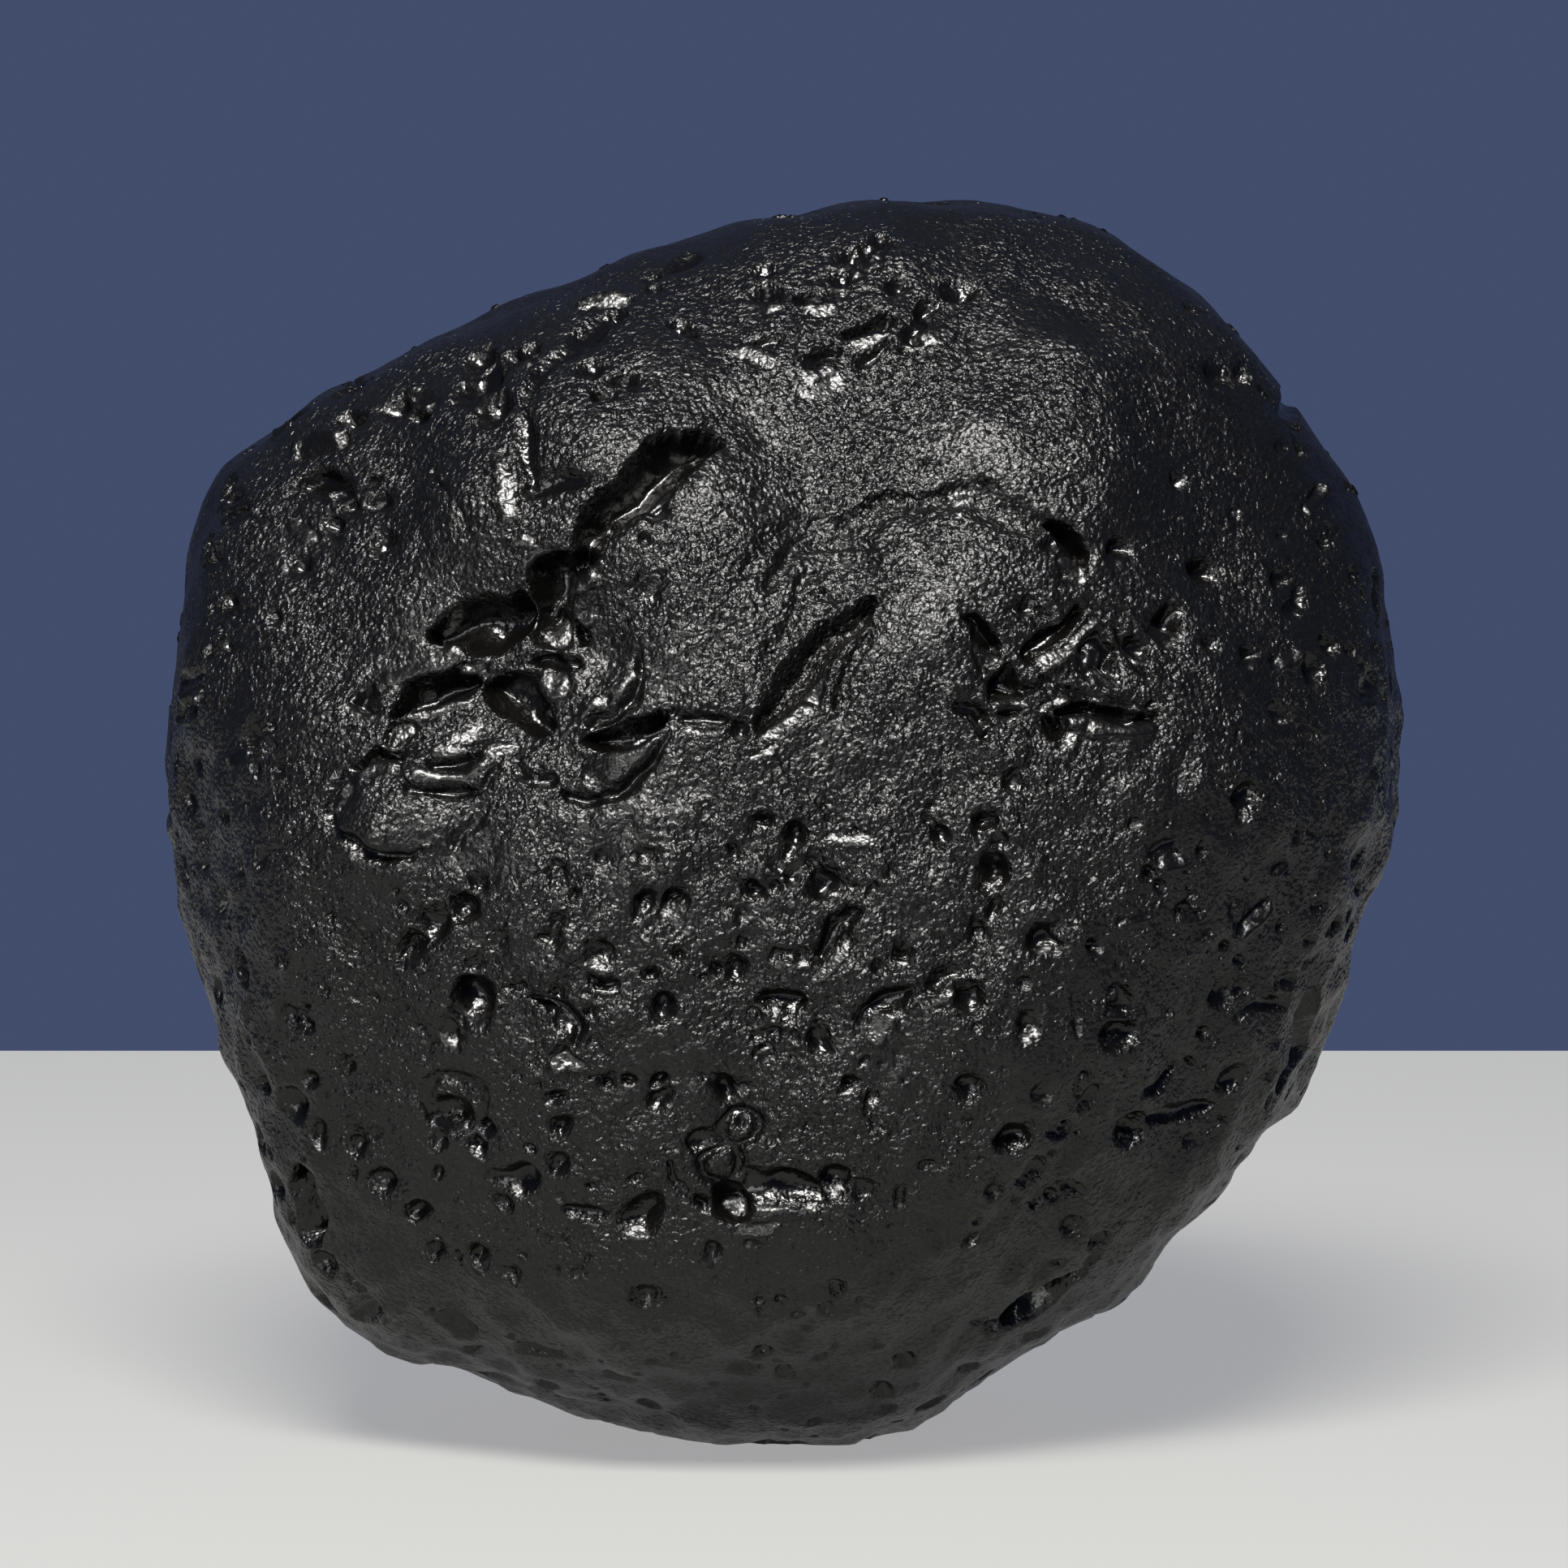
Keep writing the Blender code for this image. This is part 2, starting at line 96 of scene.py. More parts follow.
# Soft swells elsewhere: azimuth and elevation in degrees, radius and height. Azimuth 0 is the front
# and 90 the right.
OTHER_SWELLS = (
    (172, -72, 9, 2.3),  # the heel, which the stone stands on
    (150, 20, 8, 0.9), (205, -12, 9, 0.8), (186, 34, 6.5, -1.1), (232, 22, 6, -0.8), (128, -24, 6.5, -0.9),
    (178, -38, 6, -0.7), (112, 8, 6, 0.5), (250, -8, 6, 0.5), (120, 58, 6, 0.6), (250, 56, 6, -0.6),
)

# Grooves on the front, by sight: the depth, the skew, which widens the lower wall, and the middle
# line's points: X, Z and half width.
FRONT_GROOVES = (
    # the upper slot, the narrow lip along it and the dark steps to its left
    (1.75, 0, (-8.7, 35.2, 0.4), (-8, 36.1, 0.7), (-7.1, 37.1, 0.95), (-6, 38, 1.1), (-5, 38.9, 1.05),
        (-4, 39.7, 0.9), (-3.2, 40.5, 0.6)),
    (0.25, 0, (-4.2, 38.2, 0.2), (-5.4, 37.2, 0.22), (-6.5, 36, 0.2)),
    (0.35, 0, (-10.3, 41.3, 0.3), (-10, 39.8, 0.5), (-9.8, 38.6, 0.35)),
    (0.4, 0, (-9.9, 38.5, 0.35), (-8.6, 38.6, 0.45), (-7.5, 38.4, 0.3)),
    (0.4, 0, (-6.9, 46, 0.5), (-8.2, 44.5, 0.6), (-9.7, 43.1, 0.5), (-10.3, 41.8, 0.35)),
    (0.2, 0, (-14, 39.6, 0.2), (-13.4, 38, 0.2), (-12.8, 37, 0.2)),
    # the left cavities
    (1.6, 0, (-9.5, 35, 1.05), (-9.8, 33.6, 1)),
    (1.4, 0, (-14.8, 33, 0.35), (-13.6, 33.2, 0.85), (-12.4, 33.4, 1), (-11.2, 34, 0.75)),
    (1.3, 0, (-15.8, 29.9, 0.4), (-15.2, 30.4, 0.8), (-14.3, 31, 0.85), (-13.5, 31.3, 0.5)),
    (1, 0, (-12.3, 30.9, 0.7), (-11.2, 30.4, 1.1), (-10.4, 29.6, 0.8)),
    (0.6, 0, (-10.6, 31.9, 0.35), (-9.8, 32.05, 0.45), (-9, 32, 0.35)),
    (0.8, 0, (-17.3, 27.3, 0.35), (-16.6, 27.9, 0.45), (-15.6, 27.8, 0.35)),
    (0.45, 0, (-14.1, 27.75, 0.35), (-13.4, 27.75, 0.45), (-12.8, 27.85, 0.35)),
    (0.4, 0, (-15.3, 27.3, 0.25), (-14.5, 26.5, 0.3), (-13.6, 26.2, 0.35), (-12.7, 26.3, 0.35),
        (-11.9, 27.2, 0.25)),
    (0.5, 0, (-17.7, 27, 0.3), (-17.9, 26, 0.35), (-17.5, 24.9, 0.45), (-16.6, 24.2, 0.4),
        (-15.6, 23.8, 0.3), (-14.4, 24, 0.2)),
    (0.25, 0, (-12, 26, 0.3), (-12.4, 25, 0.4), (-13, 24.2, 0.3)),
    (0.4, 0, (-10.4, 27.7, 0.3), (-9.5, 27.9, 0.3)),
    (0.4, 0, (-11.3, 27.4, 0.25), (-10.4, 26.9, 0.3), (-9.4, 26.9, 0.25)),
    (1.2, 0, (-7.4, 28.3, 0.55), (-6.2, 28.9, 0.85), (-5.1, 29.3, 0.65)),
    (0.45, 0, (-8.8, 26.3, 0.3), (-7.4, 26.2, 0.35), (-6, 26.7, 0.35), (-4.9, 27.6, 0.35),
        (-4.2, 28.7, 0.35), (-4.4, 29.6, 0.3)),
    (0.5, 0, (-5.7, 32.3, 0.3), (-6, 31.2, 0.4), (-6.7, 30.2, 0.4), (-7.6, 29.2, 0.35)),
    (0.4, 0, (-4, 29.2, 0.35), (-2.6, 29.25, 0.35)),
    # the ledge and the pocket to the right of it
    (1.28, 0.1, (10.5, 37.2, 0.3), (11.3, 36.6, 0.55), (12.3, 35.9, 0.4)),
    # the right cluster
    (0.9, 0, (7.4, 33.2, 0.3), (7.8, 32.7, 0.5), (8.6, 32.1, 0.4)),
    (0.3, 0, (7.6, 31.9, 0.25), (8.2, 31.1, 0.25)), (1.2, 0.1, (8.7, 30.9, 0.55), (9.3, 31, 0.7)),
    (0.5, 0, (9.8, 30.8, 0.35), (10.6, 31, 0.25)), (0.4, 0.1, (6.9, 29.8, 0.35), (7.8, 29.9, 0.45)),
    (0.7, 0.1, (10.3, 32.1, 0.35), (11, 32.9, 0.45), (11.9, 33.8, 0.35)),
    (0.3, 0, (9, 33.9, 0.2), (9.9, 34.1, 0.25), (10.7, 33.6, 0.2)),
    (0.5, 0, (12.2, 32.1, 0.3), (13, 32.2, 0.4), (13.6, 31.9, 0.3)),
    (0.4, 0, (12.1, 31.4, 0.2), (12.4, 31.1, 0.25), (13, 31.2, 0.2)),
    (0.9, 0, (10.5, 29.2, 0.3), (10.7, 28.7, 0.45), (11.3, 28.8, 0.4)),
    (0.8, 0, (11.2, 29.5, 0.35), (12.3, 29.7, 0.45), (13.5, 29.6, 0.45), (14.8, 29.5, 0.4)),
    (0.3, 0, (10.7, 31.4, 0.2), (11.6, 30.6, 0.25), (13.4, 30.1, 0.2), (14.9, 30.2, 0.2)),
    (0.35, 0, (13.8, 33, 0.25), (14.1, 32.3, 0.3), (14.9, 31.2, 0.25)),
    # under the top edge
    (0.48, 0, (-1.6, 44.8, 0.2), (-0.8, 45.1, 0.3), (-0.2, 45.2, 0.25)),
    (0.48, 0, (1.2, 44.6, 0.3), (2.2, 44.9, 0.3)),
    (0.24, 0, (1.2, 43.7, 0.15), (1.8, 43.7, 0.15), (2.6, 44.1, 0.15)),
    (0.64, 0, (3, 45.6, 0.35), (3.8, 45.8, 0.4), (4.6, 46.2, 0.4)),
    (0.4, 0, (3.1, 44.6, 0.25), (3.9, 44.8, 0.25), (4.6, 45.2, 0.2)),
    (0.56, 0, (5.6, 45.7, 0.35), (6.1, 46.6, 0.35), (7, 47.5, 0.25)),
    (0.4, 0, (5.2, 44.9, 0.25), (6.5, 44.8, 0.2)),
    # the upper left shoulder
    (0.72, 0, (-19.3, 39.2, 0.4), (-18.2, 39.3, 0.45), (-17, 39.6, 0.3)),
    (0.64, 0, (-15.4, 41.7, 0.3), (-14.6, 41.8, 0.4)),
    (0.48, 0, (-12.3, 41.1, 0.25), (-11.6, 41.4, 0.3), (-11, 41, 0.25)),
    # the left side
    (0.35, 0, (-24.1, 30.8, 0.3), (-23.3, 30.9, 0.35)), (0.25, 0, (-21.5, 18.5, 0.25), (-21.6, 16.5, 0.25)),
    (1.28, 0, (-19.3, 10.8, 0.45), (-19, 8.6, 0.5)),
    # the middle
    (0.5, 0.1, (-15.3, 20, 0.5), (-14.7, 20.4, 0.5)),
    (0.45, 0.1, (-9.8, 20.5, 0.3), (-9, 20.3, 0.45), (-8.2, 20, 0.4)),
    (0.35, 0.1, (-7.4, 20, 0.35), (-6.2, 20.05, 0.3), (-5.2, 20, 0.25)),
    (0.35, 0.1, (-7.6, 19.1, 0.25), (-6.9, 19, 0.35)),
    (0.6, 0.1, (-10, 17.8, 0.4), (-9, 17.4, 0.6), (-8.2, 16.7, 0.5)),
    (0.55, 0.1, (2.7, 21.2, 0.4), (2.1, 20.5, 0.55), (1.5, 19.8, 0.4)),
    (0.35, 0.1, (-0.2, 19.9, 0.3), (0.6, 20, 0.35)), (0.6, 0.1, (-0.6, 17.6, 0.6), (0.4, 17.6, 0.6)),
    (0.35, 0.1, (-1.3, 16.2, 0.3), (-0.3, 16.2, 0.35)),
    (0.6, 0.1, (3.3, 17.2, 0.4), (4.2, 17.8, 0.6), (4.9, 18.3, 0.45)),
    (0.5, 0.1, (5.5, 18.2, 0.4), (6.3, 18.8, 0.5), (7, 19, 0.5)),
    (0.3, 0, (-7.8, 14.8, 0.25), (-7.2, 14.7, 0.3)),
    # the lower right
    (0.4, 0, (14.9, 24, 0.4), (15.7, 24.2, 0.4)),
    (0.4, 0, (14.8, 14.3, 0.25), (15.6, 14.3, 0.4), (16.9, 14.8, 0.3)),
    (0.4, 0, (15.3, 12.9, 0.3), (16.4, 13.1, 0.4), (17.8, 13.5, 0.3)),
    (0.35, 0, (18.9, 17.2, 0.35), (19.4, 17.6, 0.35), (20.6, 17.6, 0.3)),
    (0.8, 0, (21.5, 17.5, 0.6), (21.2, 16, 0.8), (20.4, 14.8, 0.5)),
    (0.45, 0.1, (10.7, 9.4, 0.4), (11.3, 10.1, 0.45), (12.3, 9.9, 0.3)),
    (1.28, 0, (9.4, 4.7, 0.5), (10.6, 5.6, 0.7), (11.9, 6.4, 0.45)),
    # the lower left and the foot
    (0.7, 0.1, (-11.6, 10.6, 0.6), (-10.9, 10.7, 0.7)),
    (0.35, 0.1, (-8.8, 9.45, 0.3), (-8.1, 9.3, 0.35), (-7.3, 9.15, 0.3)),
    (0.3, 0, (-4.6, 11.2, 0.25), (-4.6, 10.4, 0.3), (-4.2, 9.9, 0.25)),
    (0.65, 0.1, (-1.4, 10.4, 0.55), (0, 10.4, 0.65), (1.5, 10.15, 0.55)),
    (0.4, 0, (-10.4, 3.5, 0.4), (-9.8, 3.5, 0.4)), (0.3, 0, (-12.7, 3.5, 0.3), (-12.3, 3.5, 0.25)),
)

# Pits on the front, by sight: X, Z, radius, depth and, where there is one, the skew.
FRONT_PITS = (
    # the left cavities
    (-8.4, 33.2, 0.45, 0.6), (-5.4, 34.4, 0.8, 0.3),
    # the ledge and the pocket to the right of it
    (7.3, 39, 0.45, 0.25),
    # under the top edge
    (1.2, 46.9, 0.5, 0.75), (-0.6, 46.9, 0.4, 0.61), (2.4, 47.4, 0.35, 0.53), (3.2, 48.2, 0.45, 0.69),
    # the upper left shoulder
    (-17.6, 41.6, 0.5, 0.75), (-12.3, 43.6, 0.6, 0.77), (-10.9, 43.8, 0.55, 0.83), (-7.2, 41.9, 0.45, 0.69),
    (-7, 46, 0.35, 0.53), (-5.2, 47.1, 0.35, 0.53), (-4, 45.3, 0.4, 0.61), (-23.2, 36.2, 0.5, 0.75),
    # the left side
    (-21.5, 28.5, 0.65, 0.62, 0.1), (-20.9, 33.5, 0.35, 0.33), (-18.3, 7.4, 0.5, 0.47),
    (-16.8, 5.4, 0.85, 0.8), (-20, 13.6, 0.7, 0.64), (-17.6, 12, 0.5, 0.47),
    # the middle
    (-0.8, 25.15, 0.45, 0.43, 0.1), (-1.8, 23.95, 0.4, 0.38, 0.1), (1.8, 22.7, 0.85, 0.8, 0.1),
    (8.2, 25.2, 0.6, 0.56), (8.4, 22.9, 0.85, 0.8, 0.1), (-5.5, 22, 0.6, 0.57, 0.1),
    (-4.3, 22, 0.6, 0.57, 0.1), (-12.9, 21.75, 0.7, 0.66, 0.1), (-14, 21.1, 0.75, 0.71),
    (-12.3, 18.1, 1.05, 0.96, 0.1), (-13.6, 16.7, 0.5, 0.47, 0.1), (2.4, 14.4, 0.5, 0.47, 0.1),
    (3.5, 13.6, 0.3, 0.28),
    # the lower right
    (16.3, 21.4, 0.45, 0.43, 0.1), (10.6, 20.8, 0.7, 0.56, 0.1), (13.4, 16.7, 0.75, 0.64, 0.1),
    (9.2, 12.6, 0.8, 0.76, 0.1), (14.3, 12.5, 0.85, 0.81, 0.1), (17.8, 16.4, 0.4, 0.38),
    # the lower left and the foot
    (-13.7, 13.1, 0.9, 0.8, 0.1), (-14.4, 11.9, 0.5, 0.47), (-9.4, 11.2, 0.6, 0.48), (-9.2, 9.9, 0.3, 0.28),
    (-5.8, 9.2, 0.85, 0.81, 0.1), (-3.4, 9.9, 0.4, 0.38, 0.1), (-2, 9.9, 0.85, 1.25),
    (2.2, 10.7, 0.75, 0.71, 0.1), (-12.4, 7.3, 0.5, 0.47, 0.1), (-2.9, 8, 0.35, 0.33, 0.1),
    (-9.8, 2.1, 0.4, 0.38), (-18.3, 5.5, 0.35, 0.33),
)

# Soft troughs on the front, through which the grain goes on, drawn as the grooves are.
FRONT_TROUGHS = (
    # the middle groove and the arcs over it
    (1.15, 0.25, (3.2, 34.2, 0.35), (2.4, 33.5, 0.7), (1.3, 32.4, 0.9), (0.6, 31.3, 0.9),
        (-0.1, 30.1, 0.7), (-0.8, 29.1, 0.45)),
    (0.25, 0, (3.3, 33.2, 0.25), (2.9, 31.6, 0.35), (2.2, 30.2, 0.35)),
    (0.2, 0, (0.4, 33.6, 0.3), (-0.4, 32.4, 0.4), (-0.8, 31, 0.3)),
    (0.16, 0, (0.3, 33.9, 0.25), (1.2, 34.6, 0.3), (2.6, 34.6, 0.25)),
    (0.2, 0, (0.2, 33.4, 0.3), (0.9, 35.3, 0.35), (2.2, 36.2, 0.4), (3.6, 36.2, 0.3)),
    (0.25, 0, (-0.6, 34.6, 0.3), (0.3, 36.9, 0.4), (1.8, 37.5, 0.5), (3.4, 37.2, 0.35)),
    (0.14, 0, (-1.6, 35.4, 0.3), (0.4, 37.9, 0.35), (2.6, 38.3, 0.3)),
    # the ledge that leads to the pocket on the right
    (0.38, 0.3, (2.8, 38.1, 0.6), (4.2, 38.6, 0.8), (5.6, 38.6, 0.6), (7.3, 38.8, 0.7), (8.8, 38.1, 0.8),
        (10.2, 37.4, 0.6)),
)

# Ring pits on the front, a dome inside a moat: X, Z, the moat's radius and its depth.
FRONT_RINGS = (
    (-2, 12.6, 0.75, 0.3), (-2.5, 11.2, 0.7, 0.3), (11.9, 14.6, 0.45, 0.22), (11.3, 12.9, 0.55, 0.3),
    (-13.6, 13.6, 1.2, 0.22), (-1.3, 16.9, 0.25, 0.12), (-11.1, 38.95, 0.2, 0.12), (-7.85, 34.9, 0.2, 0.12),
    (-11, 37.9, 0.14, 0.08), (0.55, 29.7, 0.22, 0.12), (12.6, 33.7, 0.3, 0.12), (13.1, 33.6, 0.25, 0.1),
    (-14, 21.1, 0.4, 0.12),
)
MOAT_HALF_WIDTH = 0.35  # of the moat's radius

# Glints on the front: beads, ridges and the lower walls of hollows, where the skin turns to face the
# light. The lift, and the line's points, as above. A glint of one point is a bead under a small pit.
FRONT_GLINTS = (
    # around the upper slot
    (0.04, (-4.1, 38.6, 0.22), (-5.1, 37.7, 0.25), (-6, 36.8, 0.28), (-6.9, 35.9, 0.31)),
    (0.09, (-7.3, 35.6, 0.35), (-6.9, 35.9, 0.35)), (0.09, (-7.8, 35.1, 0.4), (-7.4, 35.5, 0.4)),
    (0.09, (-8.3, 34.7, 0.4), (-7.9, 35, 0.4)), (0.05, (-4.8, 37.3, 0.42)), (0.03, (-5.2, 36.2, 0.28)),
    (0.09, (-11.5, 39.6, 0.45), (-11.2, 39.2, 0.45)), (0.09, (-11.1, 38.9, 0.5), (-10.9, 38.5, 0.5)),
    (0.09, (-10.9, 38.1, 0.55), (-10.8, 37.7, 0.55)), (0.05, (-10.7, 36.4, 0.35), (-10.3, 36.5, 0.35)),
    (0.07, (-11.4, 41, 0.7)), (0.04, (-12.2, 42, 0.84)),
    (0.03, (-10.8, 35.5, 0.28), (-10.2, 35.8, 0.28), (-9.3, 36.1, 0.28)),
    # in and around the left cavities
    (0.09, (-17.1, 29.7, 0.56)), (0.07, (-16.2, 31.2, 0.42), (-15.2, 31.8, 0.49), (-14, 32.35, 0.42)),
    (0.07, (-13.8, 31.75, 0.35), (-12.7, 31.75, 0.35)), (0.07, (-12.5, 32.05, 0.31), (-11.8, 32.4, 0.31)),
    (0.07, (-15.4, 29.25, 0.39), (-14.4, 29.65, 0.39), (-13.6, 30.25, 0.35)),
    (0.1, (-10.2, 32.95, 0.56), (-9.5, 33.05, 0.56)), (0.05, (-10, 33.9, 0.39)),
    (0.05, (-9.15, 33.7, 0.42)), (0.1, (-10.2, 31.15, 0.53), (-9.7, 31.2, 0.53)),
    (0.04, (-8.2, 33.7, 0.35), (-7.8, 33.9, 0.35)), (0.09, (-15.9, 28.8, 0.4), (-15.4, 28.8, 0.4)),
    (0.05, (-16, 28.25, 0.49)), (0.09, (-17.3, 25.9, 0.35), (-17, 26.3, 0.35)),
    (0.09, (-17.1, 26.5, 0.35), (-16.8, 26.9, 0.35)), (0.07, (-16.5, 27.2, 0.49), (-15.7, 27.4, 0.42)),
    (0.09, (-14.6, 27.35, 0.35), (-14, 27, 0.39), (-13.2, 26.95, 0.39), (-12.5, 27.3, 0.35)),
    (0.09, (-12.2, 28.05, 0.49), (-11.6, 28.1, 0.49)), (0.04, (-13.5, 28.8, 0.35), (-12.8, 29.1, 0.35)),
    (0.04, (-14, 28.2, 0.31), (-13.3, 28.3, 0.31)), (0.04, (-9.9, 28.1, 0.28), (-9.4, 28.3, 0.28)),
    (0.05, (-6.6, 31.1, 0.3), (-6.2, 31.4, 0.3)), (0.05, (-7.4, 30.4, 0.35), (-6.9, 30.8, 0.35)),
    (0.05, (-8.2, 29.6, 0.4), (-7.7, 30, 0.4)), (0.05, (-8.9, 28.8, 0.4), (-8.4, 29.2, 0.4)),
    (0.1, (-7.8, 26.95, 0.42), (-6.9, 27.3, 0.53), (-5.8, 27.85, 0.49), (-5.2, 28.3, 0.35)),
    (0.05, (-4.2, 28.6, 0.35), (-2.8, 28.55, 0.35)), (0.03, (-5.2, 31.8, 0.4), (-4.4, 32, 0.4)),
    (0.05, (-1.9, 28.3, 0.56)),
    # the middle groove's lit lip
    (0.02, (1.6, 31.2, 0.2), (1.2, 30.7, 0.3), (0.95, 30.2, 0.4)),
    (0.03, (0.9, 30.1, 0.4), (0.3, 29.5, 0.45), (0, 28.9, 0.35), (-0.6, 28.6, 0.3), (-1.1, 28.4, 0.25)),
    (0.03, (-1.5, 27.5, 0.25), (-0.4, 28, 0.3)),
    # the ledge and the pocket
    (0.02, (7.2, 38.35, 0.31)), (0.03, (7.2, 37.75, 0.31), (7.8, 37.7, 0.3)),
    (0.05, (11.2, 35.6, 0.38), (12.1, 35.3, 0.38)), (0.03, (11.5, 34.9, 0.5)), (0.03, (10.6, 35.9, 0.38)),
    (0.03, (13.9, 35.8, 0.5)),
    # the right cluster
    (0.04, (8.3, 31.7, 0.47)), (0.06, (8.8, 30.35, 0.47), (9.5, 30.2, 0.39)), (0.03, (8, 29.05, 0.56)),
    (0.03, (8.2, 28.45, 0.47)), (0.02, (9.2, 29.4, 0.39)), (0.02, (9.9, 33.6, 0.39)),
    (0.04, (10.8, 31.95, 0.39), (11.4, 32.05, 0.39)), (0.04, (11.8, 32.4, 0.39), (12.7, 33.2, 0.39)),
    (0.03, (12.4, 31.6, 0.38), (12.9, 31.6, 0.38)), (0.04, (13.3, 30.9, 0.56)), (0.05, (14.5, 31.8, 0.5)),
    (0.02, (15.8, 32.6, 0.75)), (0.05, (11.7, 29, 0.38), (12.4, 29.05, 0.38)),
    (0.06, (12.7, 28.9, 0.39), (14.6, 29, 0.47)), (0.05, (11, 28, 0.38), (11.9, 28.4, 0.38)),
    (0.02, (10.4, 29.5, 0.38), (11.4, 30.3, 0.38)),
    # under the top edge
    (0.05, (-1.6, 44.5, 0.51), (-0.8, 44.4, 0.54)), (0.06, (1.3, 44, 0.51), (1.9, 44.1, 0.51)),
    (0.02, (1, 43.3, 0.41), (1.6, 43.4, 0.41), (2.4, 43.9, 0.41)),
    (0.05, (3.2, 45.25, 0.42), (3.8, 45.25, 0.47), (4.3, 45.45, 0.41)),
    (0.06, (6.1, 45.5, 0.51), (6.6, 45.7, 0.51)), (0.03, (5.6, 45, 0.42)), (0.03, (7.1, 46.8, 0.54)),
    (0.06, (1.2, 46.45, 0.51), (1.6, 46.5, 0.51)), (0.04, (-0.6, 46.4, 0.57)), (0.04, (-0.9, 47.4, 0.42)),
    (0.05, (2.3, 47.1, 0.42)), (0.06, (2.9, 47.65, 0.57)), (0.05, (3.5, 47.9, 0.51)),
    (0.04, (4, 48.4, 0.42)), (0.02, (4.8, 46.8, 0.42)),
    # the upper left shoulder
    (0.07, (-19.5, 40.25, 0.47), (-18.3, 40.6, 0.47)), (0.03, (-20.1, 40.65, 0.47)),
    (0.04, (-17.7, 42.2, 0.47)), (0.03, (-17.4, 43, 0.47)), (0.05, (-16, 41.6, 0.53)),
    (0.05, (-14.9, 42.55, 0.5), (-14.4, 42.4, 0.5)), (0.04, (-12.45, 43.5, 0.53)),
    (0.05, (-11.2, 43.4, 0.39), (-10.6, 43.5, 0.39)), (0.03, (-10.2, 43.9, 0.39)),
    (0.05, (-8, 46.3, 0.39), (-6.9, 46.6, 0.47)), (0.03, (-5.2, 47.4, 0.39)), (0.02, (-4.2, 47.8, 0.47)),
    (0.06, (-7.5, 42.45, 0.53)), (0.03, (-6.2, 42.2, 0.47)), (0.03, (-4.2, 45.1, 0.47)),
    (0.04, (-19.2, 38.45, 0.39)), (0.04, (-18.1, 38.55, 0.47)), (0.03, (-18, 38, 0.39)),
    (0.03, (-17, 38, 0.39)), (0.04, (-20.1, 37.3, 0.38), (-19.7, 36.95, 0.38)), (0.02, (-18.8, 37.1, 0.47)),
    (0.04, (-22, 37.9, 0.44)), (0.02, (-22, 37.2, 0.39)), (0.03, (-16.8, 36.6, 0.5)),
    (0.02, (-20, 35.3, 0.44)), (0.02, (-22.8, 35.3, 0.38)),
    # the left side
    (0.03, (-22.2, 33.6, 0.42)), (0.04, (-22.6, 31.85, 0.38)),
    (0.05, (-24, 30.3, 0.31), (-23.3, 30.1, 0.31)), (0.05, (-22.3, 27.45, 0.31), (-21.7, 27.75, 0.38)),
    (0.02, (-20.5, 28.7, 0.31)), (0.02, (-20.3, 27.9, 0.31)), (0.02, (-21, 27, 0.31)),
    (0.02, (-20.1, 27, 0.3)), (0.02, (-24.4, 29.3, 0.42)),
    # the middle
    (0.04, (-0.8, 24.85, 0.42)), (0.04, (-1.8, 23.7, 0.35)),
    (0.03, (1.1, 22.25, 0.2), (1.9, 22.15, 0.25), (2.3, 22, 0.2)),
    (0.02, (2.2, 24.4, 0.42), (3.4, 24.4, 0.42)), (0.03, (6.6, 24.2, 0.45)), (0.04, (8.3, 22.25, 0.42)),
    (0.04, (-5.7, 21.65, 0.31)), (0.03, (-5.9, 21.1, 0.38)), (0.05, (-4.6, 21.5, 0.38), (-4, 21.65, 0.38)),
    (0.05, (-13.1, 21.45, 0.38)), (0.04, (-14.2, 20.6, 0.3)),
    (0.05, (-15.2, 19.5, 0.38), (-14.7, 19.5, 0.31)),
    (0.06, (-9.6, 19.85, 0.31), (-8.9, 19.6, 0.38), (-8.3, 19.35, 0.31)),
    (0.03, (-7.7, 19.65, 0.31), (-7, 19.6, 0.31)), (0.04, (-7.1, 18.5, 0.4)), (0.03, (-5.5, 18.8, 0.4)),
    (0.03, (-4, 19.5, 0.4)), (0.02, (-2.8, 18.9, 0.4)), (0.05, (-12.3, 17.2, 0.5)),
    (0.05, (-8.7, 15.9, 0.6), (-8.2, 15.6, 0.4)), (0.04, (-13.7, 16, 0.45)),
    (0.05, (2.5, 19.9, 0.42), (1.6, 19.1, 0.4), (1.2, 18.8, 0.38)),
    (0.05, (0, 19.45, 0.3), (0.8, 19.55, 0.3)), (0.05, (-0.4, 17.05, 0.35), (0.4, 17, 0.35)),
    (0.02, (0.8, 16.8, 0.31)), (0.04, (-1, 15.55, 0.31), (-0.6, 15.55, 0.31)), (0.02, (-0.7, 15.1, 0.38)),
    (0.06, (3.6, 16.6, 0.38), (4.1, 17, 0.38)), (0.06, (5.6, 17.45, 0.31), (6.6, 18.05, 0.31)),
    (0.05, (6.8, 18.45, 0.31), (7.3, 18.4, 0.31)), (0.03, (5.1, 19.85, 0.42)), (0.03, (2.5, 13.9, 0.42)),
    (0.02, (3.4, 13.3, 0.3)), (0.04, (-7.4, 14.1, 0.38)), (0.02, (-6.4, 14.35, 0.38)),
    (0.02, (-5, 14.1, 0.42)), (0.02, (-9.1, 13.8, 0.38)),
    # the right side
    (0.05, (16.4, 39.1, 0.5)), (0.05, (19.2, 38.15, 0.37), (19.6, 37.85, 0.37)),
    (0.04, (21.6, 38.1, 0.37), (22.1, 38.4, 0.36)), (0.03, (17.5, 42.9, 0.5)), (0.04, (17.8, 35.1, 0.6)),
    (0.04, (20.9, 34.7, 0.5)), (0.03, (17.6, 32.25, 0.36)), (0.04, (19.3, 31.8, 0.46)),
